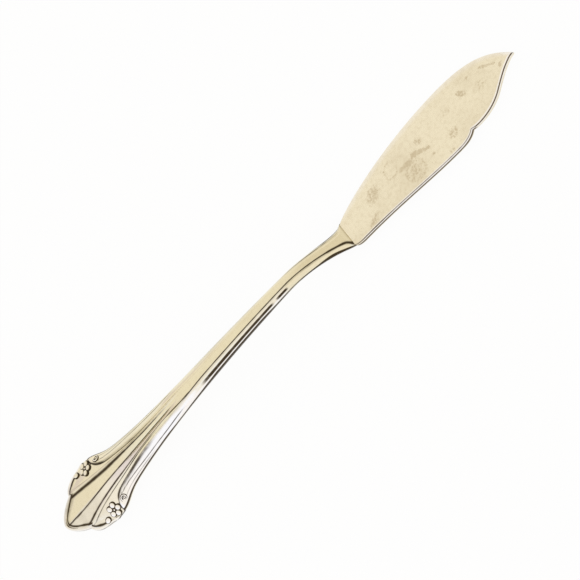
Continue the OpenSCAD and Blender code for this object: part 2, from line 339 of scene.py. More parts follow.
@cache
def film_group() -> Tree:
    """The thin uneven film on handled silver, thinned and paled where it is rubbed and where highlights are
    painted, made once.

    Returns:
        A group that puts out the metal's colour and roughness.
    """
    floats = ("Stain", "Worn", "Scale", "Share", "Clean Roughness", "Film Roughness")
    kinds = {"Vector": "Vector", "Clean": "Color", "Film": "Color"} | dict.fromkeys(floats, "Float")
    group = new_group("Silver film", kinds, {"Color": "Color", "Roughness": "Float"})
    ins, outs = group.nodes["In"].outputs, group.nodes["Out"].inputs
    place, worn = ins["Vector"], ins["Worn"]
    octaves, cloud_low, cloud_high = 4, 0.42, 0.66
    fine_ratio, fine_lift, mottle_share, wear_and_highlight_loss = 6.0, 0.35, 0.25, -0.8
    ragged_gain, ragged_lift, speck_gain, speck_lift = 2.6, -0.3, 0.9, 0.6

    broad = ramp(group, noise(group, place, ins["Scale"], octaves), cloud_low, cloud_high)
    fine = noise(group, place, maths(group, "MULTIPLY", ins["Scale"], fine_ratio), octaves - 1)
    cloud = maths(group, "MULTIPLY", broad, maths(group, "ADD", fine, fine_lift))
    cloud = maths(group, "MULTIPLY", cloud, ins["Share"])
    mottle = ramp(group, noise(group, place, MOTTLE.scale, MOTTLE.detail), MOTTLE.low, MOTTLE.high)
    cloud = maths(group, "MULTIPLY_ADD", mottle, mottle_share, cloud)
    cloud = maths(group, "MULTIPLY", cloud, maths(group, "MULTIPLY_ADD", worn, wear_and_highlight_loss, 1.0))

    ragged = noise(group, place, RAGGED.scale, RAGGED.detail)
    ragged = maths(group, "MULTIPLY_ADD", ragged, ragged_gain, ragged_lift)
    blot = ramp(group, maths(group, "MULTIPLY", ins["Stain"], ragged), RAGGED.low, RAGGED.high)
    specks = ramp(group, noise(group, place, SPECKS.scale, SPECKS.detail), SPECKS.low, SPECKS.high)
    specks = maths(group, "MULTIPLY_ADD", specks, speck_gain, speck_lift)
    blot = maths(group, "MULTIPLY", blot, specks)

    share = maths(group, "MINIMUM", maths(group, "ADD", cloud, blot), 1.0)
    # Rubbed places and painted highlights turn the metal near white
    polished_and_lit = tint(group, worn, ins["Clean"], POLISH_AND_HIGHLIGHT)
    feed(group, outs["Color"], tint(group, share, polished_and_lit, ins["Film"]))
    span = maths(group, "SUBTRACT", ins["Film Roughness"], ins["Clean Roughness"])
    feed(group, outs["Roughness"], maths(group, "MULTIPLY_ADD", share, span, ins["Clean Roughness"]))
    return group


@cache
def tarnish_and_shade_group() -> Tree:
    """Dark tarnishing in the die's lines, with painted shade and painted reflections, made once.

    Returns:
        A group that puts out the colour and roughness with the tarnishing and painted shade laid over them.
    """
    outs = {"Color": "Color", "Roughness": "Float"}
    kinds = {"Vector": "Vector", "Recess": "Float", "Tarnish": "Color"} | outs
    group = new_group("Painted shade and tarnishing", kinds, outs)
    ins, outs = group.nodes["In"].outputs, group.nodes["Out"].inputs
    patch_gain, patch_lift, rougher = 0.8, 0.6, 0.2
    patchy = noise(group, ins["Vector"], PATCHES.scale, PATCHES.detail)
    patchy = maths(group, "MULTIPLY_ADD", patchy, patch_gain, patch_lift)
    share = ramp(group, maths(group, "MULTIPLY", ins["Recess"], patchy), PATCHES.low, PATCHES.high)
    feed(group, outs["Color"], tint(group, share, ins["Color"], ins["Tarnish"]))
    feed(group, outs["Roughness"], maths(group, "MULTIPLY_ADD", share, rougher, ins["Roughness"]))
    return group


@cache
def grain_group() -> Tree:
    """Fine polishing marks that run along the knife, made once.

    Returns:
        A group that puts out the height of the marks.
    """
    group = new_group("Polishing marks", {"Vector": "Vector", "Scale": "Float"}, {"Height": "Float"})
    ins, outs = group.nodes["In"].outputs, group.nodes["Out"].inputs
    drawn_out, octaves, dent_share = (0.12, 1.0, 1.0), 3, 0.6
    drawn = add(group, "Mapping", {"Vector": ins["Vector"], "Scale": drawn_out})["Vector"]
    marks = noise(group, drawn, ins["Scale"], octaves)
    dents = noise(group, ins["Vector"], DENTS.scale, DENTS.detail)
    feed(group, outs["Height"], maths(group, "MULTIPLY_ADD", dents, dent_share, marks))
    return group


def new_skin() -> Mesh:
    """Starts a bmesh.

    Returns:
        The bmesh, with the attributes that the finishes read.
    """
    bm = bmesh.new()
    for name in (TARNISH_AND_SHADE, STAIN, WEAR_AND_HIGHLIGHT):
        bm.verts.layers.float.new(name)
    return bm


def finished(bm: Mesh, name: str, material: bpy.types.Material) -> bpy.types.Object:
    """Turns a bmesh into a smooth-shaded piece that rides on the knife.

    Args:
        bm: the piece's shape in metres, which is freed.
        name: the piece's name.
        material: the piece's material.

    Returns:
        The piece's object, at the origin.
    """
    bmesh.ops.recalc_face_normals(bm, faces=bm.faces[:])
    for face in bm.faces:
        face.smooth = True
    mesh = bpy.data.meshes.new(name)
    bm.to_mesh(mesh)
    bm.free()
    mesh.materials.append(material)
    piece = bpy.data.objects.new(name, mesh)
    bpy.context.scene.collection.objects.link(piece)
    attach(piece, BODY)
    return piece


def grid_places(bm: Mesh, rows: int, columns: int) -> dict[bmesh.types.BMVert, tuple[int, int]]:
    """Makes a flat grid, to be bent into a skin.

    Args:
        bm: the bmesh that gets it.
        rows: how many points it has along X.
        columns: how many points it has along Y.

    Returns:
        The row and column of each of its vertices.
    """
    made = bmesh.ops.create_grid(bm, x_segments=rows - 1, y_segments=columns - 1, size=1.0)
    return {
        v: (round((v.co.x + 1) / 2 * (rows - 1)), round((v.co.y + 1) / 2 * (columns - 1)))
        for v in made["verts"]
    }


@dataclass(frozen=True)
class Tang:
    """The blade's bar inside the handle, in millimetres."""

    length: float = 6.0
    width: float = 1.7
    height: float = 1.1
    rise: float = 0.72
    middle: float = 0.81
    solder: float = 0.1

    def close_end(self, bm: Mesh, grow: float) -> None:
        """Closes a skin at the shoulder, leaving the tang's outline, and draws the tang out of it.

        Args:
            bm: the skin, open at the shoulder.
            grow: how much larger than the tang the bar is, which makes the handle's slot.
        """
        foot = [e for e in bm.edges if e.is_boundary]
        mouth = bmesh.ops.create_circle(bm, cap_ends=False, radius=1.0, segments=4)["verts"]
        y, z = self.width / 2 + grow, self.height / 2 + grow
        for vert, (across, up) in zip(mouth, ((-y, -z), (y, -z), (y, z), (-y, z))):
            vert.co = Vector((0, across, self.middle + up)) * MM
        edges = list({e for v in mouth for e in v.link_edges})
        bmesh.ops.triangle_fill(
            bm, use_beauty=True, use_dissolve=False, edges=foot + edges, normal=(1, 0, 0)
        )
        drawn = bmesh.ops.extrude_edge_only(bm, edges=edges)["geom"]
        length = self.length + grow
        bmesh.ops.translate(
            bm,
            verts=[g for g in drawn if isinstance(g, bmesh.types.BMVert)],
            vec=Vector((-length, 0, self.rise * length)) * MM,
        )
        bmesh.ops.contextual_create(bm, geom=[g for g in drawn if isinstance(g, bmesh.types.BMEdge)])


@dataclass(frozen=True)
class Blot:
    """A stain on the blade's top: its place, its half sizes, its turn and its strength."""

    x: float
    y: float
    long: float
    wide: float
    turn: float
    strength: float
    ring: bool = False
    ring_w: float = 0.22

    def at(self, x: float, y: float) -> float:
        """The stain's strength at a place.

        Args:
            x: distance from the shoulder.
            y: distance from the centreline.

        Returns:
            From 0, clean, to the blot's strength.
        """
        c, s = math.cos(math.radians(self.turn)), math.sin(math.radians(self.turn))
        along = ((x - self.x) * c + (y - self.y) * s) / self.long
        across = (-(x - self.x) * s + (y - self.y) * c) / self.wide
        reach = math.hypot(along, across)
        return self.strength * (hump(reach - 1, self.ring_w) if self.ring else math.exp(-(reach**4)))


@dataclass
class Blade:
    """The flat blade with its belly, its notched back and its tang."""

    length: float = 61.0
    belly_w: float = 10.3
    belly_x: float = 39.0
    back_w: float = 5.2
    swell_x: float = 36.0
    swell_rise: float = 0.4
    notch_x: float = 41.3
    notch_d: float = 1.4
    cusp_pull: float = 0.6
    hip_out: float = 1.4
    hip_pull: float = 2.3
    tail_in: float = 0.35
    tail_out: float = 0.8
    point_y: float = 2.6
    point_w: float = 0.3
    point_l: float = 1.5
    tip_l: float = 0.35
    back_t: float = 1.8
    edge_t: float = 0.5
    grind_w: float = 8.0
    flat_share: float = 0.25
    hollow_power: float = 1.5
    root_w: float = 3.75
    root_run: float = 6.0
    heel_l: float = 3.0
    foot_w: float = 7.1
    foot_shift: float = 0.35
    back_round: float = 0.38
    low_round: float = 0.12
    edge_round: float = 0.45
    border_w: float = 0.4

    # Points across a half section: on the wall, round the back, beside it, to the edge and round it
    wall_n: int = 5
    round_n: int = 8
    border_n: int = 5
    flat_n: int = 39
    edge_n: int = 7

    # Painted shade and painted reflections along the back: dark on its wall and its border, and one dark
    # line past the notch
    wall_shade: Fade = Fade(1.0, 0.25, 0.2, 1.2, 0.2)
    border_reflection: Fade = Fade(0.6, 0.03, 0.08, 0.29, 0.08)
    border_reflection_gain: Swell = Swell(0.5, 7, 4)
    past_reflection: Fade = Fade(0.95, 1.2, 0.12)
    past_reflection_in: Fade = Fade(1.0, end=0.12, end_ease=0.1)
    past_run: float = 2.0
    line_floor: float = 0.03

    # Painted highlights along the cutting edge and the back
    edge_shine: Fade = Fade(0.5, end=0.2, end_ease=1.6)
    back_shine: Fade = Fade(1.0, end=0.45, end_ease=0.12)
    shine_run: float = 4.0

    tang: Tang = Tang()
    blots: tuple[Blot, ...] = (
        Blot(21.6, 1.9, 1.2, 0.55, 10, 0.8),
        Blot(23.6, 1.9, 1.7, 0.6, 0, 1.0),
        Blot(26.4, 2.3, 1.3, 0.75, -20, 1.0),
        Blot(28.4, 1.6, 1.5, 0.55, -25, 1.0),
        Blot(30.0, 1.0, 1.0, 0.35, -25, 0.9),
        Blot(24.0, -1.0, 2.6, 2.0, 0, 0.42),
        Blot(24.2, -1.0, 2.9, 2.2, 0, 0.45, True),
        Blot(19.0, 4.0, 2.2, 1.9, 30, 0.42, True),
        Blot(44.8, 4.7, 1.6, 0.8, -45, 0.75),
        Blot(48.3, 6.6, 0.6, 0.4, 0, 0.7),
        Blot(53.4, 5.4, 2.2, 0.4, -30, 0.7),
        Blot(57.0, 2.6, 0.7, 0.5, 20, 0.9),
        Blot(55.7, 4.1, 0.8, 0.35, -30, 0.6),
        Blot(11.5, 2.8, 3.2, 2.0, 30, 0.5),
        Blot(8.0, -2.2, 2.6, 1.0, 20, 0.5),
        Blot(37.4, -1.1, 2.2, 1.6, 0, 0.42),
        Blot(29.0, 4.1, 1.5, 1.1, 0, 0.5),
        Blot(30.2, -1.2, 0.8, 0.5, 0, 0.5),
        Blot(34.4, -4.0, 1.2, 0.7, 0, 0.4),
        Blot(49.9, 2.5, 3.0, 2.0, 0, 0.3),
        Blot(38.9, 4.1, 2.5, 1.4, 0, 0.3),
    )

    def __post_init__(self) -> None:
        """Works out the outline's two paths, from the shoulder to the point."""
        near, far = self.foot_w / 2 - self.foot_shift, self.foot_w / 2 + self.foot_shift
        point = (self.length, self.point_y)
        cusp = (self.notch_x, self.notch_d - self.back_w)
        hip = (mix(cusp[0], point[0], 0.57), mix(cusp[1], point[1], 0.57) - self.hip_out)
        hip_l = hip[0] - self.notch_x
        self.edge_path = curve_path([
            (0, far),
            (self.belly_x * 0.13, mix(far, self.belly_w, 0.45)),
            (self.belly_x * 0.56, self.belly_w),
            (self.belly_x, self.belly_w),
            (mix(self.belly_x, self.length, 0.41), self.belly_w),
            (mix(self.belly_x, self.length, 0.75), mix(self.point_y, self.belly_w, 0.86)),
            point,
        ])
        self.back_path = curve_path([
            (0, -near),
            (self.heel_l * 0.2, -mix(near, self.root_w, 0.75)),
            (self.heel_l * 0.5, -self.root_w),
            (self.heel_l, -self.root_w),
            (mix(self.heel_l, self.swell_x, 0.4), -self.root_w),
            (mix(self.heel_l, self.swell_x, 0.7), -self.back_w),
            (self.swell_x, -self.back_w),
            (mix(self.swell_x, self.notch_x, 0.47), -self.back_w),
            (mix(self.swell_x, self.notch_x, 0.75), self.swell_rise - self.back_w),
            cusp,
            (cusp[0] + hip_l * 0.28, cusp[1] - self.cusp_pull),
            (hip[0] - hip_l * 0.31, hip[1] - self.hip_pull),
            hip,
            (mix(hip[0], point[0], 0.3), mix(hip[1], point[1], 0.3) + self.tail_in),
            (mix(hip[0], point[0], 0.6), mix(hip[1], point[1], 0.6) + self.tail_out),
            point,
        ])

    @staticmethod
    def path_at(path: list[tuple[float, float]], x: float) -> float:
        """The height of a path of rising x.

        Args:
            path: the path's points.
            x: where it is read.

        Returns:
            The height there, between the two nearest points.
        """
        for (xa, ya), (xb, yb) in zip(path, path[1:]):
            if xb >= x:
                return mix(ya, yb, (x - xa) / (xb - xa))
        return path[-1][1]

    def stations(self) -> list[float]:
        """Where the rings lie, crowded at the root, the notch and the point.

        Returns:
            Their distances from the shoulder.
        """
        root = [self.notch_x * k for k in bunched(90)]
        tail = [mix(self.notch_x, self.length - self.tip_l, k) for k in bunched(56)][1:]
        tip = [self.length - self.tip_l * (1 - k) for k in (0.3, 0.55, 0.75, 0.88, 0.96, 1.0)]
        return root + tail + tip

    def section(self, x: float, low: bool) -> list[tuple[float, float, float]]:
        """Half of a cross-section, from the middle of the back's wall to the cutting edge.

        Args:
            x: distance from the shoulder.
            low: whether it is the lower half.

        Returns:
            The points' y and z, and how dark their painted shade and reflections are.
        """
        spread = self.point_w / 2 * rise(x, self.length - self.point_l, self.point_l)
        y0 = self.path_at(self.back_path, x) - spread
        y1 = self.path_at(self.edge_path, x) + spread
        wide, middle = y1 - y0, self.back_t / 2
        thin = mix(self.edge_t, self.back_t, math.exp(-x / self.root_run))
        end = 1 - quarter(max(0.0, (x - self.length + self.tip_l) / self.tip_l))
        r0 = min(self.low_round if low else self.back_round, wide / 5)
        r1 = min(thin * self.edge_round, wide / 5)
        flat = max(wide - self.grind_w, self.flat_share * wide)
        inner = y0 + r0 + min(self.border_w, wide / 10)

        points = [(y0, mix(middle, self.back_t - r0, i / self.wall_n)) for i in range(self.wall_n)]
        for i in range(self.round_n + 1):
            turn = QUARTER_TURN * i / self.round_n
            points.append((y0 + r0 * (1 - math.cos(turn)), self.back_t - r0 * (1 - math.sin(turn))))
        across = [mix(y0 + r0, inner, i / self.border_n) for i in range(1, self.border_n)]
        across += [mix(inner, y1 - r1, i / self.flat_n) for i in range(self.flat_n + 1)]
        for y in across:
            ground = clamp01((y - y0 - flat) / (wide - flat))
            points.append((y, self.back_t - (self.back_t - thin) * ground**self.hollow_power))
        last = points[-1][1]
        for i in range(1, self.edge_n + 1):
            turn = QUARTER_TURN * i / self.edge_n
            points.append((y1 - r1 * (1 - math.sin(turn)), mix(thin / 2, last, math.cos(turn))))

        made = []
        for i, (y, z) in enumerate(points):
            core = mix(middle, thin / 2, clamp01((y - y0 - flat) / (wide - flat)))
            if low and i < self.wall_n:
                z = mix(middle, r0, i / self.wall_n)
            elif low and i < len(points) - 1:
                z = max(r0 * quarter(max(0.0, 1 - (y - y0) / r0)), r1 * quarter(max(0.0, 1 - (y1 - y) / r1)))
            # Painted shade and painted reflections beside the back
            dark = self.line(x, y - y0, z) if y < inner and z > self.line_floor else 0.0
            made.append((y, mix(core, z, end), dark))
        return made

    def line(self, x: float, inner: float, z: float) -> float:
        """How dark the painted shade and painted reflections along the back are.

        Args:
            x: distance from the shoulder.
            inner: distance from the back's wall.
            z: height above the table.

        Returns:
            From 0 to 1: two lines before the notch and one past it.
        """
        border = self.border_reflection.at(inner) * (1 + self.border_reflection_gain.at(x))
        before = max(self.wall_shade.at(z), border)
        past = self.past_reflection.at(z) * self.past_reflection_in.at(inner)
        return mix(before, past, rise(x, self.notch_x, self.past_run))

    def build(self, material: bpy.types.Material) -> bpy.types.Object:
        """Models the blade and its tang.

        Args:
            material: the blade's material.

        Returns:
            The blade's object.
        """
        stations = self.stations()
        bm = new_skin()
        recess, stain, worn = (bm.verts.layers.float[name] for name in (TARNISH_AND_SHADE, STAIN, WEAR_AND_HIGHLIGHT))
        for low in (False, True):
            rings = [self.section(x, low) for x in stations]
            for vert, (i, j) in grid_places(bm, len(rings), len(rings[0])).items():
                x, (y, z, dark) = stations[i], rings[i][j]
                vert.co = Vector((x, y, z)) * MM
                vert[recess] = dark
                if not low:
                    vert[stain] = max(b.at(x, y) for b in self.blots)
                    # Painted highlights along the cutting edge and the back
                    back, edge = rings[i][0][0], rings[i][-1][0]
                    shine = max(self.edge_shine.at(edge - y), self.back_shine.at(y - back))
                    vert[worn] = shine * smooth(x / self.shine_run)
        bmesh.ops.remove_doubles(bm, verts=[v for v in bm.verts if v.is_boundary], dist=1e-8)
        self.tang.close_end(bm, 0.0)
        piece = finished(bm, "knife_blade", material)
        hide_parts("blade")
        return piece


@dataclass(frozen=True)
class Spot:
    """A place on the handle's skin, and the handle's measures there."""

    d: float  # distance from the shoulder
    v: float  # signed share of the half width
    gap: float  # distance to the rim
    w: float  # half of the handle's width
    s: float  # the shoulder line's share of the half width
    ridge: float  # the ridge's share of the half width

    @property
    def a(self) -> float:
        """Share of the half width."""
        return abs(self.v)

    @property
    def q(self) -> float:
        """Share of the way from the shoulder line to the side."""
        return (abs(self.v) - self.s) / (1 - self.s)

    @property
    def far(self) -> bool:
        """Whether it lies on the far half."""
        return self.v > 0


@dataclass(frozen=True)
class Handle:
    """The die-struck handle: a cranked neck, an oval shank and a pleated fan with a raised rim."""

    length: float = 112.0
    foot_w: float = 7.1
    foot_shift: float = 0.35
    foot_l: float = 1.0
    foot_ease: float = 0.08
    foot_run: float = 3.4
    foot_drop: float = 0.3
    back_t: float = 1.8
    step_h: float = 0.3
    step_l: float = 0.25
    step_left: float = 0.05
    shank_w: float = 3.9
    shank_t: float = 3.3
    taper: float = 0.024
    side_h: float = 1.5
    neck_run: float = 3.0
    arch_h: float = 7.9
    crown_d: float = 17.3

    fan_w: float = 17.2
    fan_l: float = 14.5
    root_l: float = 4.0
    flute_l: float = 13.5
    flare_l: float = 15.0
    dome_l: float = 16.0
    fan_edge_t: float = 1.5
    fan_floor: float = 0.9
    fall_l: float = 25.5
    panel_power: float = 2.2
    boss_w: float = 1.0
    boss_l: float = 3.8
    boss_back: float = 4.0
    boss_v: float = 0.6

    # The pleats and their ridges
    pleat_d: float = 0.85
    pleat_slope: float = 0.4
    pleat_end: float = 54.0
    fade_l: float = 14.0
    valley_power: float = 1.1
    ridge_v: float = 0.33
    ridge_swing: float = 0.075
    ridge_back: float = 23.5
    bead_h: float = 0.14
    bead_v: float = 0.055
    bend_in: float = -0.226
    bend_out: float = 0.113
    bend_back: float = 27.5
    bend_l: float = 36.0

    # The shoulder lines, with a groove and a hook at the foot, and the sides outside them
    shoulder_v: float = 0.395
    fan_shoulder: float = 0.1
    flute_shoulder: float = 0.11
    foot_shoulder: float = 0.16
    hook: Swell = Swell(0.25, 0, 0.9)
    lead_l: float = 4.0
    swing_back: float = 21.5
    groove: Swell = Swell(0.1, 0, 0.14)
    lip_shank: float = 0.07
    lip_fan: float = 0.2
    lobe_l: float = 12.0
    lobe_back: float = 39.5
    lobe_dip: float = 0.2
    lobe_rise: float = 0.3
    rise_back: float = 31.5
    plain_k: float = 0.6
    oval_power: float = 1.6
    bevel_power: float = 3.2
    bevel_share: float = 0.85
    scroll_l: float = 6.5
    scroll_end: float = 3.2
    scroll_run: float = 0.6
    scroll_v: float = 0.94

    # The rim and the underside's edges
    rim_w: float = 0.75
    rim_t: float = 1.8
    rim_notch: float = 6.1
    rim_power: float = 1.6
    rim_least: float = 0.6
    rim_soft: float = 0.2
    rim_round: float = 0.3
    rim_low: float = 0.8
    tip_round: float = 0.05
    tip_power: float = 1.2
    low_edge: float = 0.6
    low_foot: float = 0.3
    low_run: float = 8.0
    seat_gap: float = 1.3

    # Rings along the neck, the shank, the flute and the fan, and those at set distances from the rim
    neck_n: int = 44
    neck_crowd: float = 1.7
    shank_n: int = 84
    flute_n: int = 36
    fan_n: int = 56
    rim_gaps: tuple[float, ...] = (
        *(2.0, 1.75, 1.5, 1.35, 1.22, 1.12, 1.04, 0.97, 0.9, 0.84, 0.78, 0.72, 0.66),
        *(0.6, 0.52, 0.44, 0.36, 0.29, 0.22, 0.16, 0.11, 0.07, 0.04, 0.015, 0.0),
    )

    # Steps across the valley, a panel and a side
    valley_n: int = 18
    panel_n: int = 20
    lobe_n: int = 26

    tang: Tang = Tang()

    @property
    def fan_d(self) -> float:
        """Distance from the shoulder to the widest place of the fan."""
        return self.length - self.fan_l

    @property
    def flute_d(self) -> float:
        """Distance from the shoulder to where the flute opens."""
        return self.fan_d - self.flute_l

    @property
    def root_d(self) -> float:
        """Distance from the shoulder to where the stations begin to fan out."""
        return self.fan_d - self.root_l

    def before_fan(self, d: float, back: float, run: float) -> float:
        """An eased step that starts so far before the widest place of the fan."""
        return rise(d, self.fan_d - back, run)

    def under(self, d: float) -> float:
        """The arched underside.

        Args:
            d: distance from the shoulder.

        Returns:
            The underside's height.
        """
        if d <= self.foot_l:
            return 0.0
        if d < self.crown_d:
            u = (d - self.foot_l) / (self.crown_d - self.foot_l)
            eased = (1 + self.foot_ease) * u * u / (u + self.foot_ease)
            return self.arch_h * (1 - (1 - eased) ** 2)
        return self.arch_h * (1 - ((d - self.crown_d) / (self.length - self.crown_d)) ** 2) ** 2

    def half_w(self, d: float) -> float:
        """The handle's width, without the bosses.

        Args:
            d: distance from the shoulder.

        Returns:
            Half of the width.
        """
        base = self.shank_w / 2 + self.taper * max(d - self.crown_d, 0)
        fan_base = self.shank_w / 2 + self.taper * (self.fan_d - self.crown_d)
        flare = (self.fan_w / 2 - fan_base) * math.exp((d - self.fan_d) / self.flare_l)
        return base + flare + (self.foot_w - self.shank_w) / 2 * math.exp(-d / self.foot_run)

    def side_y(self, d: float, v: float) -> float:
        """How far a line lies from the centreline.

        Args:
            d: distance from the shoulder.
            v: the line's share of the half width, which bends inwards along the shank.

        Returns:
            The distance, positive on the far side.
        """
        a = abs(v)
        bend = mix(self.bend_in, self.bend_out, self.before_fan(d, self.bend_back, self.bend_l))
        boss = self.boss_w * hump(d - self.fan_d + self.boss_back, self.boss_l)
        out = (a + a * (1 - a) * bend) * self.half_w(d) + boss * rise(a, self.boss_v, 1 - self.boss_v)
        return self.foot_shift * math.exp(-d / self.foot_run) + math.copysign(out, v)

    def shoulder(self, d: float) -> float:
        """The line between the crown and a side.

        Args:
            d: distance from the shoulder, past the widest place of the fan taken as there.

        Returns:
            The line's share of the half width.
        """
        d = min(d, self.fan_d)
        k = clamp01((d - self.fan_d + self.scroll_end + self.scroll_l) / self.scroll_l)
        s = self.shoulder_v + self.foot_shoulder * math.exp(-d / self.neck_run) + self.hook.at(d)
        s += self.fan_shoulder * rise(d, self.pleat_end - self.lead_l, self.lobe_l)
        s += self.flute_shoulder * self.before_fan(d, self.swing_back, self.fade_l)
        return mix(s, self.scroll_v, quarter(k))

    def ridge(self, d: float) -> float:
        """The line of a ridge at distance d, as a share of the half width."""
        return self.ridge_v + self.ridge_swing * self.before_fan(d, self.ridge_back, self.fade_l)

    def scroll(self, d: float) -> float:
        """1 along the sides, falling to 0 past the ends of the scrolls."""
        return 1 - self.before_fan(d, self.scroll_end, self.scroll_run)

    def pleat(self, d: float) -> float:
        """How far the pleats have grown at distance d."""
        return rise(d, self.pleat_end, self.fade_l)

    def spot(self, d: float, v: float, gap: float) -> Spot:
        """A place on the skin, by its distance, its share of the half width and its gap to the rim."""
        return Spot(d, v, gap, self.half_w(d), self.shoulder(d), self.ridge(d))

    def rim_d(self, v: float) -> float:
        """Where a line meets the rim.

        Args:
            v: the line's share of the half width.

        Returns:
            Distance from the shoulder.
        """
        a, ridge = abs(v), self.ridge(self.fan_d)
        notch = self.length - self.rim_notch
        if a > ridge:
            return notch - (notch - self.fan_d) * ((a - ridge) / (1 - ridge)) ** self.rim_power
        tip, whole = (math.hypot(k, self.tip_round) - self.tip_round for k in (a, ridge))
        return self.length - self.rim_notch * (tip / whole) ** self.tip_power

    def rim_slope(self, v: float) -> float:
        """How squarely a line meets the rim.

        Args:
            v: the line's share of the half width.

        Returns:
            From the least squareness to 1.
        """
        step = 0.004
        a = min(abs(v), 1 - step)
        d0, d1 = self.rim_d(a), self.rim_d(a + step)
        dy = self.side_y(d1, a + step) - self.side_y(d0, a)
        return max(abs(dy) / math.hypot(d1 - d0, dy), self.rim_least)

    def ridge_t(self, d: float, gap: float) -> float:
        """Thickness of the ridges above the underside, by the distance and the gap to the rim."""
        dome = mix(self.shank_t, self.rim_t, (1 - clamp01(gap / self.dome_l)) ** 3)
        return dome + (self.back_t + self.step_h - self.shank_t) * math.exp(-d / self.neck_run)

    def panel_t(self, p: Spot, a: float) -> float:
        """Thickness of the pleated panels on a place's ring.

        Args:
            p: the place.
            a: the share of the half width at which it is read.

        Returns:
            The thickness above the underside.
        """
        t, grown = self.ridge_t(p.d, p.gap), self.pleat(p.d)
        drop = self.before_fan(p.d, self.bend_back, self.fall_l) * max(t - self.fan_edge_t, 0.0)
        deep = min(self.pleat_slope * p.ridge * p.w, self.pleat_d, t - self.fan_floor)
        bead = self.bead_h * grown * max(0.0, 1 - ((a - p.ridge) / self.bead_v) ** 2)
        if a < p.ridge:
            return t - grown * deep * (1 - a / p.ridge) ** self.valley_power + bead
        return t - drop * ((a - p.ridge) / (1 - p.ridge)) ** self.panel_power + bead

    def side_t(self, d: float) -> float:
        """Height of the widest line of the side above the underside at distance d."""
        drop = self.foot_drop * math.exp(-d / self.foot_run)
        return mix(self.rim_t / 2, self.side_h, self.scroll(d)) - drop

    def lobe(self, d: float, k: float) -> tuple[float, float]:
        """The rounded side's profile, which turns from an oval into a bevel at the fan.

        Args:
            d: distance from the shoulder.
            k: the share of the turn from the shoulder line to the widest line.

        Returns:
            The shares of the side's width and of its fall.
        """
        turned = self.before_fan(d, self.lobe_back, self.lobe_l)
        power = mix(self.oval_power, self.bevel_power, turned)
        out = math.sin(QUARTER_TURN * k) ** (2 / power)
        drop = 1 - max(0.0, math.cos(QUARTER_TURN * k)) ** (2 / power)
        return out, mix(drop, out, self.bevel_share * turned)

    def stations(self) -> list[tuple[Span, float]]:
        """Where the rings lie, from the shoulder to the rim.

        Returns:
            How each ring is placed, and its distance or share.
        """
        shank = [self.crown_d * (i / self.neck_n) ** self.neck_crowd for i in range(self.neck_n)]
        shank += [mix(self.crown_d, self.flute_d, i / self.shank_n) for i in range(self.shank_n)]
        shank += [mix(self.flute_d, self.root_d, i / self.flute_n) for i in range(self.flute_n)]
        rings = [(Span.SHANK, d) for d in shank]
        rings += [(Span.FAN, i / self.fan_n) for i in range(self.fan_n)]
        return rings + [(Span.RIM, gap) for gap in self.rim_gaps]

    def columns(self) -> list[tuple[Side, Band, float]]:
        """Where the lines across the handle lie, from the near side to the far side.

        Returns:
            The side and the band of each, and its share of the way across the band.
        """
        half = [(Band.VALLEY, k) for k in bunched(self.valley_n)]
        half += [(Band.PANEL, k) for k in bunched(self.panel_n)[1:]]
        half += [(Band.LOBE, i / self.lobe_n) for i in range(self.lobe_n + 1)]
        near = [(Side.NEAR, band, k) for band, k in reversed(half[1:])]
        return near + [(Side.FAR, band, k) for band, k in half]

    def reach(self, span: Span, at: float, a: float) -> tuple[float, float]:
        """Where a ring crosses a line.

        Args:
            span: how the ring is placed.
            at: the ring's distance or share.
            a: the line's share of the half width.

        Returns:
            Distance from the shoulder and distance to the rim.
        """
        rim, first = self.rim_d(a), self.rim_gaps[0]
        if span is Span.SHANK:
            return at, rim - at
        slope = self.rim_slope(a)
        if span is Span.FAN:
            return mix(self.root_d, rim - first / slope, at), mix(rim - self.root_d, first, at)
        return rim - at / slope, at

    def place(self, ring: tuple[Span, float], line: tuple[Side, Band, float]) -> Spot:
        """Where a point of the skin lies.

        Args:
            ring: how its ring is placed, and the ring's distance or share.
            line: its side, its band and its share of the way across the band.

        Returns:
            The place.
        """
        side, band, k = line
        edge_d = self.reach(*ring, 1)[0]
        s, ridge = self.shoulder(edge_d), self.ridge(edge_d)
        if band is Band.VALLEY:
            a = ridge * k
        elif band is Band.PANEL:
            a = mix(ridge, s, k)
        else:
            lip = mix(self.lip_shank, self.lip_fan, self.pleat(edge_d)) / self.half_w(edge_d)
            a = mix(s + min(lip, (1 - s) / 4), 1, self.lobe(edge_d, k)[0])
        d, gap = self.reach(*ring, a)
        return self.spot(d, a * side.value, gap)

    def top_t(self, p: Spot, band: Band, k: float) -> float:
        """Thickness at a point of the top.

        Args:
            p: the point's place.
            band: the band that it lies in.
            k: the share of the way across that band.

        Returns:
            The thickness above the underside.
        """
        t, grown, scroll = self.panel_t(p, p.a), self.pleat(p.d), self.scroll(p.d)
        if band is Band.LOBE:
            top = self.panel_t(p, p.s) + self.lobe_rise * self.before_fan(p.d, self.rise_back, self.fade_l)
            edge = self.side_t(p.d)
            plain = mix(t, edge, rise(k, self.plain_k, 1 - self.plain_k))
            t = mix(plain, top - (top - edge) * self.lobe(p.d, k)[1], scroll)
        else:
            t -= grown * scroll * self.lobe_dip * (max(p.a - p.ridge, 0.0) / (p.s - p.ridge)) ** 3
        t -= (1 - grown) * self.groove.at((p.a - p.s) * p.w)
        if p.d < self.step_l:
            step = (self.step_h - self.step_left) * quarter(1 - p.d / self.step_l)
            t -= step * (1 - k if band is Band.LOBE else 1)
        inside = rise(p.gap / self.rim_w, 1 - self.rim_soft, 2 * self.rim_soft)
        crest = self.rim_t - self.rim_t / 2 * quarter(1 - min(p.gap / self.rim_round, 1))
        return mix(crest, t, inside)

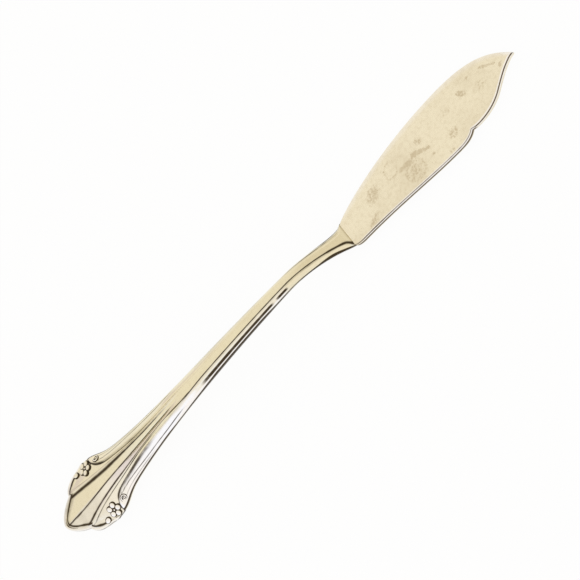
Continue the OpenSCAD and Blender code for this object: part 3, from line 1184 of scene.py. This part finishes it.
    def low_t(self, p: Spot) -> float:
        """Height of the underside's rounded edges above its middle.

        Args:
            p: the place.

        Returns:
            The height there, 0 away from the edges.
        """
        edge = self.rim_t / 2
        if p.gap > self.rim_low:
            edge = self.top_t(self.spot(p.d, 1.0, p.gap), Band.LOBE, 1.0)
        reach = mix(self.low_foot, self.low_edge, smooth(p.d / self.low_run))
        inner = min((1 - p.a) * p.w, p.gap)
        return edge * quarter(1 - min(inner / reach, 1))

    def build(self, material: bpy.types.Material) -> bpy.types.Object:
        """Models the handle's skin and its slot for the tang.

        Args:
            material: the handle's material.

        Returns:
            The handle's object.
        """
        rows, columns, tarnish_and_light = self.stations(), self.columns(), HandleTarnishAndLight(self)
        bm = new_skin()
        recess, worn = (bm.verts.layers.float[name] for name in (TARNISH_AND_SHADE, WEAR_AND_HIGHLIGHT))
        for low in (False, True):
            for vert, (i, j) in grid_places(bm, len(rows), len(columns)).items():
                p = self.place(rows[i], columns[j])
                _, band, k = columns[j]
                t = self.low_t(p) if low else self.top_t(p, band, k)
                vert.co = Vector((-p.d, self.side_y(p.d, p.v), self.under(p.d) + t)) * MM
                # Painted shade along the widest place of the side and round the underside's edges
                outer = low or (band is Band.LOBE and k > tarnish_and_light.trim_k)
                vert[recess] = tarnish_and_light.side_shade(p.d, t) if outer else 0.0
                # Tarnishing in the die's lines with painted shade and reflections, and rubbed places with
                # painted highlights
                if not low:
                    vert[recess] = max(vert[recess], tarnish_and_light.recess(p))
                    vert[worn] = tarnish_and_light.worn(p)
        bmesh.ops.remove_doubles(bm, verts=[v for v in bm.verts if v.is_boundary], dist=2e-6)
        self.tang.close_end(bm, self.tang.solder)
        piece = finished(bm, "fan_handle", material)
        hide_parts("handle")
        return piece

    def top_point(self, d: float, v: float) -> Vector:
        """A point of the top, for the ornament.

        Args:
            d: distance from the shoulder.
            v: signed share of the half width.

        Returns:
            The point, in millimetres.
        """
        p = self.spot(d, v, max(self.rim_d(v) - d, self.seat_gap))
        band = Band.LOBE if p.q > 0 else Band.PANEL
        k = math.asin(clamp01(p.q) ** (self.bevel_power / 2)) / QUARTER_TURN
        return Vector((-d, self.side_y(d, v), self.under(d) + self.top_t(p, band, k)))

    def seat(self, d: float, v: float) -> Matrix:
        """The place of an ornament on the handle's top.

        Args:
            d: distance from the shoulder.
            v: signed share of the half width.

        Returns:
            A matrix in metres, with Z square to the top and X towards the tip.
        """
        step_d, step_v = 0.8, 0.08
        along = self.top_point(d + step_d, v) - self.top_point(d - step_d, v)
        across = self.top_point(d, v + step_v) - self.top_point(d, v - step_v)
        up = across.cross(along).normalized()
        up = up if up.z > 0 else -up
        along = (along - up * along.dot(up)).normalized()
        turn = Matrix((along, up.cross(along), up)).transposed().to_4x4()
        return Matrix.Translation(self.top_point(d, v) * MM) @ turn @ Matrix.Scale(MM, 4)


@dataclass(frozen=True)
class HalfTone:
    """How dark the lines and the painted shade and reflection band of one half of the handle are, as the
    light falls on that half.
    """

    # Strength of the painted reflection band along the shank
    band: float
    pleat: Fade
    pleat_w: float
    bead: Fade
    rim_drift: Fade
    rim_shade: Fade


# The halves differ as the light falls on them; the near half has the stronger painted reflection band
TONES = {
    Side.NEAR: HalfTone(
        0.9, Fade(0.95, 55, 3), 0.36, Fade(0.8, 64, 14), Fade(0.34, 103, 4), Fade(0.3, 101, 4)
    ),
    Side.FAR: HalfTone(
        0.3, Fade(0.95, 58, 16), 0.48, Fade(0.5, 64, 14), Fade(0.22, 103, 4), Fade(0.46, 101, 4)
    ),
}


@dataclass(frozen=True)
class Score:
    """A scored line along a side: its shares of the half width at the shank and the fan, and its tone."""

    shank_v: float
    fan_v: float
    tone: Fade
    width: float = 0.1

    def dark(self, p: Spot, fan: float) -> float:
        """How dark it is at a place, by how far the fan has opened there."""
        off = (p.a - mix(self.shank_v, self.fan_v, fan)) * p.w
        return self.tone.at(p.d) * hump(off, self.width)


@dataclass(frozen=True)
class HandleTarnishAndLight:
    """Tarnished lines of the handle with painted shade and painted reflections, and rubbed places with
    painted highlights.
    """

    handle: Handle
    fan: Fade = Fade(1.0, 76, 16)

    # The painted reflection band along the shank with its gap, the dark line along the neck's far edge and
    # the painted shadow of the step across the foot
    reflection_band_across: Fade = Fade(1.0, 0.44, 0.14, 0.78, 0.05)
    reflection_band_along: Fade = Fade(1.0, 16.9, 1.2, 50, 4)
    reflection_band_gap: Swell = Swell(0.95, 22.3, 0.9)
    neck_across: Swell = Swell(0.75, 0.5, 0.18)
    neck_along: Swell = Swell(1.0, 9, 9)
    foot_step_shadow: Swell = Swell(0.36, 0, 0.4)

    # The shoulder line, which swings outwards on the near half, and the shade outside it there
    swept: Fade = Fade(1.0, 68, 10, 87, 6)
    sweep_w: float = 0.4
    sweep_tone: float = 0.1
    shoulder_w: float = 0.18
    shoulder_grown: tuple[Fade | Swell, ...] = (Swell(0.16, 3, 3.5), Swell(0.36, 0, 1.5), Fade(0.18, 72, 10))
    shoulder_pale: Fade = Fade(0.7, 57, 4, 72, 6)
    far_begun: Fade = Fade(0.5, 62, 12)
    far_doubled: Fade = Fade(1.0, 88, 4)
    shade: float = 0.32
    shade_neck: Swell = Swell(0.13, 9, 7)
    shade_out: float = 0.2
    shade_w: float = 0.4
    shade_grow: float = 0.3

    # The valley, which bows at the tip, the lines beside the ridges and the painted shade over the near half
    inside: Fade = Fade(1.0, 0.6, 0.4)
    valley: Fade = Fade(0.95, 60, 8)
    valley_bow: Swell = Swell(0.55, 103.5, 8)
    valley_w: float = 0.2
    valley_grow: float = 0.06
    near_leave: Fade = Fade(1.0, 56, 14)
    pleat_w: float = 0.16
    bead_w: float = 0.16
    bead_grow: float = 0.045
    bead_line_w: float = 0.15
    near_shade: Fade = Fade(1.0, 87, 14)
    near_shade_valley: float = 0.28
    near_shade_panel: float = 0.24
    near_shade_w: float = 0.4
    near_shade_q: float = 0.1

    # The line inside the rim, the painted shade along its outer edge and beside it, and the scored lines
    # along the sides
    rim_in: float = 0.22
    rim_line_w: float = 0.34
    rim_lag: float = 1.0
    rim_run: float = 2.0
    rim_edge_shade: Swell = Swell(0.6, 0, 0.13)
    rim_shade: Swell = Swell(1.0, 1.2, 1.5)
    scores: tuple[Score, ...] = (
        Score(0.84, 0.77, Fade(0.85, 58, 6, 90, 4)),
        Score(0.93, 0.9, Fade(0.6, 72, 8, 90, 4)),
    )

    # The painted shade along the widest place of the side
    trim_k: float = 0.4
    trim_lift: Swell = Swell(0.3, 5, 3.5)
    trim_w: float = 0.4
    trim_thick: Fade = Fade(0.22, 22, 6, 46, 10)
    trim_thin: Fade = Fade(0.1, 54, 8)
    trim_low: float = 0.12
    trim_soft: float = 0.2
    trim_pale: Swell = Swell(0.35, 17, 6)
    trim_least: float = 0.05

    # The rubbed rim, and the painted highlights on the halves and the near side
    rim_polish: float = 0.85
    far_polish_and_sheen: Fade = Fade(0.08, 76, 10)
    near_polish_and_sheen: Fade = Fade(0.6, 76, 8)
    side_begun: Fade = Fade(1.0, 16, 4)
    side_sheen: float = 0.45
    edge_sheen: Fade = Fade(0.55, 0.76, 0.06)
    fan_side: Fade = Fade(1.0, 52, 5)

    @staticmethod
    def tone(p: Spot) -> HalfTone:
        """The tones of the half that a place lies on."""
        return TONES[Side.FAR if p.far else Side.NEAR]

    def recess(self, p: Spot) -> float:
        """How dark a point of the top is, from 0 to 1: tarnishing in the die's lines, painted shade and
        painted reflections.
        """
        lines = (self.shank_lines, self.shoulder_lines, self.pleat_lines, self.rim_lines, self.scored_lines)
        return min(1.0, max(line(p) for line in lines))

    def shank_lines(self, p: Spot) -> float:
        """The painted reflection band along the shank, the neck's far edge line and the painted shadow of
        the step across the foot.

        Args:
            p: the place.

        Returns:
            How dark the darkest of them is.
        """
        # Painted reflection: the dark band along the shank
        band = self.reflection_band_across.at(p.q) * self.reflection_band_along.at(p.d) * (1 - self.reflection_band_gap.at(p.d))
        neck = self.neck_across.at(p.q) * self.neck_along.at(p.d) if p.far else 0.0
        return max(self.tone(p).band * band, neck, self.foot_step_shadow.at(p.d))

    def shoulder_lines(self, p: Spot) -> float:
        """The shoulder line, and on the near half the shade outside it.

        Args:
            p: the place.

        Returns:
            How dark the darker of them is.
        """
        swept = 0.0 if p.far else self.swept.at(p.d)
        off = (p.a - p.s) * p.w - self.sweep_w * swept
        line = hump(off, self.shoulder_w + sum(part.at(p.d) for part in self.shoulder_grown))
        if p.far:
            return line * self.far_begun.at(p.d) * (1 + self.far_doubled.at(p.d)) * self.handle.scroll(p.d)
        line *= 1 - self.sweep_tone * swept - self.shoulder_pale.at(p.d)
        shade = 0.0
        if off > 0:
            shade = self.shade + self.shade_neck.at(p.d) + self.sweep_tone * swept
            shade *= hump(off - self.shade_out, self.shade_w + self.shade_grow * self.fan.at(p.d))
        return max(line, shade) * self.handle.scroll(p.d)

    def pleat_lines(self, p: Spot) -> float:
        """The lines in the valley and beside the ridges, and the painted shade over the near half.

        Args:
            p: the place.

        Returns:
            How dark the darkest of them is.
        """
        tone, fan = self.tone(p), self.fan.at(p.d)
        ridge = (p.a - p.ridge) * p.w
        bead = self.bead_w + self.bead_grow * p.w * fan
        bow = p.v * p.w + self.valley_bow.at(p.d)
        fold, near_shade = ridge + bead, 0.0
        if not p.far:
            # Painted shade over the near half of the valley and the panels
            near_shade = mix(self.near_shade_valley, self.near_shade_panel, smooth(fold / self.near_shade_w)) * self.near_shade.at(p.d)
            near_shade *= 1 - self.handle.scroll(p.d) * smooth(p.q / self.near_shade_q)
            fold -= (p.s - p.ridge) * p.w * (1 - self.near_leave.at(p.d))
        valley = self.valley.at(p.d) * hump(bow, self.valley_w + self.valley_grow * fan)
        pleat = tone.pleat.at(p.d) * hump(fold, mix(self.pleat_w, tone.pleat_w, fan))
        beside = tone.bead.at(p.d) * hump(ridge - bead, self.bead_line_w)
        return max(valley, pleat, beside, near_shade) * self.inside.at(p.gap)

    def rim_lines(self, p: Spot) -> float:
        """The line inside the rim, and the painted shade along its outer edge and beside it.

        Args:
            p: the place.

        Returns:
            How dark the darkest of them is.
        """
        tone, start = self.tone(p), self.handle.fan_d
        inner = p.gap - self.handle.rim_w - self.rim_in - tone.rim_drift.at(p.d)
        line = hump(inner, self.rim_line_w) * rise(p.d, start + self.rim_lag, self.rim_run)
        edge = self.rim_edge_shade.at(p.gap) * rise(p.d, start, self.rim_run)
        return max(line, edge, tone.rim_shade.at(p.d) * self.rim_shade.at(p.gap))

    def scored_lines(self, p: Spot) -> float:
        """How dark the scored lines along the sides are."""
        return max(score.dark(p, self.fan.at(p.d)) for score in self.scores)

    def worn(self, p: Spot) -> float:
        """How pale a point of the top is: rubbed bright on the rim, with painted highlights elsewhere.

        Args:
            p: the place.

        Returns:
            From 0 to 1: most on the rim and the near side, and least on the far half.
        """
        if p.gap < self.handle.rim_w:
            return self.rim_polish
        if p.far:
            return self.far_polish_and_sheen.at(p.d)
        if p.q <= 0:
            return self.near_polish_and_sheen.at(p.d)
        side = self.side_begun.at(p.d) * (self.side_sheen + self.edge_sheen.at(p.q))
        return mix(self.near_polish_and_sheen.height, max(self.fan_side.at(p.d), side), self.handle.scroll(p.d))

    def side_shade(self, d: float, t: float) -> float:
        """How dark the painted shade along the widest place of the side is.

        Args:
            d: distance from the shoulder.
            t: height above the underside.

        Returns:
            From 0 to 1.
        """
        if t <= self.trim_least:
            return 0.0
        lift = self.trim_lift.at(d)
        reach = self.trim_w + self.trim_thick.at(d) - self.trim_thin.at(d) + lift
        off = abs(t - self.handle.side_t(d) - lift + self.trim_low)
        ended = rise(d, self.handle.fan_d + self.rim_lag, self.rim_run)
        return fall(off, reach, self.trim_soft) * (1 - self.trim_pale.at(d)) * (1 - ended)


@dataclass(frozen=True)
class Lump:
    """A rounded lump: how far out and how high it sits, its half sizes, and up to where it is painted dark
    as shade.
    """

    out: float
    z: float
    long: float
    wide: float
    high: float
    dark: float


@dataclass(frozen=True)
class Ornament:
    """The blossom, bud and volute at one side of the fan, struck with the handle."""

    handle: Handle
    side: Side
    # Painted highlights on the ornament, stronger on the near side than the far
    near_polish_and_sheen: float = 1.0
    far_polish_and_sheen: float = 0.35
    shine_run: float = 0.24

    # Places, by the distance from the widest place of the fan and the share of the half width
    blossom_at: tuple[float, float] = (-1.2, 0.79)
    bud_at: tuple[float, float] = (2.5, 0.77)
    volute_at: tuple[float, float] = (-5.9, 0.86)

    # The blossom, whose ground and petals are shares of its radius
    blossom_d: float = 4.3
    petals: int = 5
    first_petal: float = 0.25
    ground: Lump = Lump(0, 0, 0.6, 0.6, 0.25, 1.0)
    petal_lumps: tuple[Lump, ...] = (
        Lump(0.62, 0.05, 0.42, 0.44, 0.24, 1.0),
        Lump(0.6, 0.15, 0.38, 0.36, 0.42, 0.36),
    )
    heart: Lump = Lump(0, 0.15, 0.3, 0.3, 0.36, 0.34)

    bud_lumps: tuple[Lump, ...] = (
        Lump(0, -0.1, 1.1, 0.8875, 0.3, 1.0),
        Lump(0, 0.1, 0.85, 0.6375, 0.45, 0.18),
    )

    # The volute, whose tube winds inwards from its radius to its end, round a ball
    volute_r: float = 1.0
    volute_end: float = 0.3
    turns: float = 1.3
    turn_n: int = 40
    tube_n: int = 12
    ball: Lump = Lump(0, 0.1, 0.26, 0.26, 0.3, 0.1)

    @property
    def polish_and_sheen(self) -> float:
        """How pale the ornament's tops are, rubbed and with painted highlights."""
        return self.near_polish_and_sheen if self.side is Side.NEAR else self.far_polish_and_sheen

    def seat(self, place: tuple[float, float]) -> Matrix:
        """The seat of one of the places."""
        return self.handle.seat(self.handle.fan_d + place[0], place[1] * self.side.value)

    def lump(self, bm: Mesh, seat: Matrix, lump: Lump, unit: float = 1.0, turn: float = 0.0) -> None:
        """Adds a rounded lump, with painted shade at its foot and a pale top of rubbed metal and painted
        highlight.

        Args:
            bm: the bmesh that gets it.
            seat: the place of the ornament.
            lump: its place and sizes.
            unit: what its place and sizes across the seat are counted in.
            turn: its turn about the seat's Z, in degrees.
        """
        recess, worn = (bm.verts.layers.float[name] for name in (TARNISH_AND_SHADE, WEAR_AND_HIGHLIGHT))
        made = bmesh.ops.create_uvsphere(bm, u_segments=20, v_segments=12, radius=1.0)["verts"]
        for vert in made:
            height = vert.co.z * lump.high + lump.z
            # Painted shade below the dark height, a pale painted highlight above it
            shine = rise(height, lump.dark - self.shine_run / 2, self.shine_run)
            vert[recess] = 1 - shine
            vert[worn] = shine * self.polish_and_sheen
        spot = Matrix.Rotation(math.radians(turn), 4, "Z") @ Matrix.Translation((lump.out * unit, 0, lump.z))
        sizes = Matrix.Diagonal((lump.long * unit, lump.wide * unit, lump.high, 1))
        bmesh.ops.transform(bm, verts=made, matrix=seat @ spot @ sizes)

    def blossom(self, bm: Mesh) -> None:
        """Adds the five-petalled blossom on its ground of painted shade.

        Args:
            bm: the bmesh that gets it.
        """
        seat, radius = self.seat(self.blossom_at), self.blossom_d / 2
        self.lump(bm, seat, self.ground, radius)
        for i in range(self.petals):
            for petal in self.petal_lumps:
                self.lump(bm, seat, petal, radius, 360 / self.petals * (i + self.first_petal))
        self.lump(bm, seat, self.heart)

    def bud(self, bm: Mesh) -> None:
        """Adds the bud between the blossom and the rim, on its ground of painted shade."""
        for lump in self.bud_lumps:
            self.lump(bm, self.seat(self.bud_at), lump)

    def coil(self, bm: Mesh, seat: Matrix, tube: float, flat: float, dark: float) -> None:
        """Adds a tube that winds inwards as it tapers.

        Args:
            bm: the bmesh that gets it.
            seat: the place of its middle.
            tube: the tube's radius at its outer end.
            flat: the share of its height that is left.
            dark: how dark it is painted, as shade.
        """
        recess, worn = (bm.verts.layers.float[name] for name in (TARNISH_AND_SHADE, WEAR_AND_HIGHLIGHT))
        made = bmesh.ops.create_circle(bm, cap_ends=True, radius=tube, segments=self.tube_n)["verts"]
        bmesh.ops.rotate(bm, verts=made, matrix=Matrix.Rotation(QUARTER_TURN, 3, "X"))
        bmesh.ops.translate(bm, verts=made, vec=(self.volute_r, 0, 0))
        cap = list(made[0].link_faces)
        angle = math.radians(360 * self.turns / self.turn_n) * self.side.value
        shrink = (self.volute_end / self.volute_r) ** (1 / self.turn_n)
        step = Matrix.Rotation(angle, 4, "Z") @ Matrix.Diagonal((shrink, shrink, 1, 1))
        for _ in range(self.turn_n):
            grown = bmesh.ops.extrude_face_region(bm, geom=cap)["geom"]
            bmesh.ops.delete(bm, geom=cap, context="FACES_ONLY")
            verts = [g for g in grown if isinstance(g, bmesh.types.BMVert)]
            cap = [g for g in grown if isinstance(g, bmesh.types.BMFace)]
            bmesh.ops.transform(bm, verts=verts, matrix=step)
            made += verts
        for vert in made:
            vert[recess] = dark
            vert[worn] = (1 - dark) * self.polish_and_sheen
        bmesh.ops.transform(bm, verts=made, matrix=seat @ Matrix.Diagonal((1, 1, flat, 1)))

    def volute(self, bm: Mesh) -> None:
        """Adds the volute at the end of the scroll, wound round a ball over an edge of painted shade.

        Args:
            bm: the bmesh that gets it.
        """
        seat, lift = self.seat(self.volute_at), 0.25
        # A wide dark coil under the bright one, as painted shade
        self.coil(bm, seat, tube=0.42, flat=0.75, dark=1.0)
        self.coil(bm, seat @ Matrix.Translation((0, 0, lift)), tube=0.2, flat=1.0, dark=0.0)
        self.lump(bm, seat, self.ball)

    def build(self, material: bpy.types.Material) -> bpy.types.Object:
        """Models the ornament.

        Args:
            material: the handle's material.

        Returns:
            The ornament's object.
        """
        bm = new_skin()
        self.blossom(bm)
        self.bud(bm)
        self.volute(bm)
        return finished(bm, f"blossom_{self.side.name.lower()}", material)


@dataclass(frozen=True)
class Studio:
    """The camera, the pale floor and the soft light."""

    eye: Point = (0.201798, -0.205960, 0.540665)
    right: Point = (0.6487, -0.5812, -0.4913)
    up: Point = (0.6705, 0.7419, 0.0078)
    lens: float = 155.3
    sensor: float = 36.0

    floor_z: float = -0.00004
    floor_half: float = 4.0
    floor_white: Colour = (0.95, 0.95, 0.96)
    floor_rough: float = 0.9
    floor_glow: float = 0.92

    # The tent's colours, and the directions over which they change
    overhead: Colour = (0.96, 0.93, 0.86)
    near_low: Colour = (1.0, 1.03, 1.1)
    far_low: Colour = (0.85, 0.796, 0.838)
    warm_low: Colour = (1.01, 0.98, 0.95)
    front_warm: Colour = (0.86, 0.81, 0.71)
    far_y: tuple[float, float] = (-0.15, 0.15)
    left_x: tuple[float, float] = (-0.42, -0.52)
    front_x: tuple[float, float] = (-0.3, 0.5)
    front_y: tuple[float, float] = (-0.1, 0.2)
    high_z: tuple[float, float] = (0.0, 0.10)
    near_top: float = 0.60
    far_drop: float = -0.35
    left_lift: float = 0.08

    def camera(self) -> None:
        """Sets the camera at the photograph's viewing angle."""
        data = bpy.data.cameras.new("camera")
        data.lens = self.lens
        data.sensor_width = self.sensor
        right = Vector(self.right).normalized()
        back = right.cross(Vector(self.up)).normalized()
        turn = Matrix((right, back.cross(right), back)).transposed().to_4x4()
        camera = bpy.data.objects.new("camera", data)
        camera.matrix_world = Matrix.Translation(self.eye) @ turn
        bpy.context.scene.collection.objects.link(camera)
        bpy.context.scene.camera = camera

    def floor_material(self) -> bpy.types.Material:
        """Makes the floor's white, which the camera and reflections see as nearly even.

        Returns:
            The material, matt enough to keep the knife's shadow.
        """
        made = bpy.data.materials.new("white_floor")
        made.use_nodes = True
        tree = made.node_tree
        matt = tree.nodes["Principled BSDF"]
        matt_ins = {"Base Color": self.floor_white, "Roughness": self.floor_rough, "Specular IOR Level": 0.0}
        for label, value in matt_ins.items():
            feed(tree, matt.inputs[label], value)
        path = add(tree, "LightPath", {})
        seen = maths(tree, "MAXIMUM", path["Is Camera Ray"], path["Is Glossy Ray"])
        seen = maths(tree, "MAXIMUM", seen, path["Is Transmission Ray"])
        seen = maths(tree, "MULTIPLY", seen, self.floor_glow)
        glow = add(tree, "Emission", {"Strength": 1.0})[0]
        blend = add(tree, "MixShader", {0: seen, 1: matt.outputs[0], 2: glow})[0]
        feed(tree, tree.nodes["Material Output"].inputs["Surface"], blend)
        return made

    def floor(self) -> None:
        """Lays the white floor."""
        bm = bmesh.new()
        bmesh.ops.create_grid(bm, x_segments=2, y_segments=2, size=self.floor_half)
        bmesh.ops.translate(bm, verts=bm.verts[:], vec=(0, 0, self.floor_z))
        mesh = bpy.data.meshes.new("floor")
        bm.to_mesh(mesh)
        bm.free()
        mesh.materials.append(self.floor_material())
        floor = bpy.data.objects.new("floor", mesh)
        bpy.context.scene.collection.objects.link(floor)

    def light(self) -> None:
        """Surrounds the knife with a soft tent: cream above and white low down."""
        world = bpy.data.worlds.new("tent")
        bpy.context.scene.world = world
        world.use_nodes = True
        tree = world.node_tree
        x, y, z = add(tree, "SeparateXYZ", {0: add(tree, "TexCoord", {})["Generated"]})
        far = ramp(tree, y, *self.far_y)
        left = ramp(tree, x, *self.left_x)
        drop = maths(tree, "MULTIPLY_ADD", left, self.left_lift, self.far_drop)
        edge = maths(tree, "MULTIPLY_ADD", far, drop, self.near_top)
        high = ramp(tree, maths(tree, "SUBTRACT", z, edge), *self.high_z)
        front = maths(tree, "MULTIPLY", ramp(tree, x, *self.front_x), ramp(tree, y, *self.front_y))
        low = tint(tree, left, self.warm_low, tint(tree, far, self.near_low, self.far_low))
        colour = tint(tree, front, tint(tree, high, low, self.overhead), self.front_warm)
        feed(tree, tree.nodes["Background"].inputs["Color"], colour)


BLADE_SILVER = Finish(
    "blade_silver_plate",
    clean=(0.89, 0.813, 0.635),
    film=(0.655, 0.562, 0.40),
    # The dark tint here is only painted shade and painted reflections along the back
    tarnish=(0.15, 0.11, 0.06),
    roughness=0.24,
    film_roughness=0.40,
    film_scale=70.0,
    film_share=0.28,
    grain_scale=2400.0,
    grain_depth=0.004,
)
HANDLE_SILVER = Finish(
    "handle_silver_plate",
    clean=(0.85, 0.775, 0.565),
    film=(0.73, 0.64, 0.455),
    # The dark tint is tarnishing in the die's lines and painted shade and reflections
    tarnish=(0.06, 0.042, 0.022),
    roughness=0.13,
    film_roughness=0.26,
    film_scale=90.0,
    film_share=0.25,
    grain_scale=2400.0,
    grain_depth=0.003,
)
SOLDER = Finish(
    "hard_solder",
    clean=(0.55, 0.53, 0.47),
    film=(0.42, 0.39, 0.33),
    tarnish=(0.1, 0.08, 0.06),
    roughness=0.42,
    film_roughness=0.55,
    film_scale=240.0,
    film_share=0.5,
    grain_scale=1500.0,
    grain_depth=0.01,
)


def main() -> None:
    """Builds the studio and the knife's pieces in order, and reports each piece."""
    logging.basicConfig(level=logging.INFO, format="%(name)s: %(message)s")
    bpy.context.scene.view_settings.view_transform = "Standard"
    studio = Studio()
    studio.camera()
    studio.floor()
    studio.light()
    handle, struck = Handle(), HANDLE_SILVER.material()
    pieces = [Blade().build(BLADE_SILVER.material()), handle.build(struck)]
    pieces += [Ornament(handle, side).build(struck) for side in Side]
    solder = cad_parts["solder_seam"]
    solder.data.materials.clear()
    solder.data.materials.append(SOLDER.material())
    for piece in pieces:
        log.info("%s has %d faces", piece.name, len(piece.data.polygons))
    log.info("%s keeps its solid, in %s", solder.name, SOLDER.name)


if __name__ == "__main__":
    main()
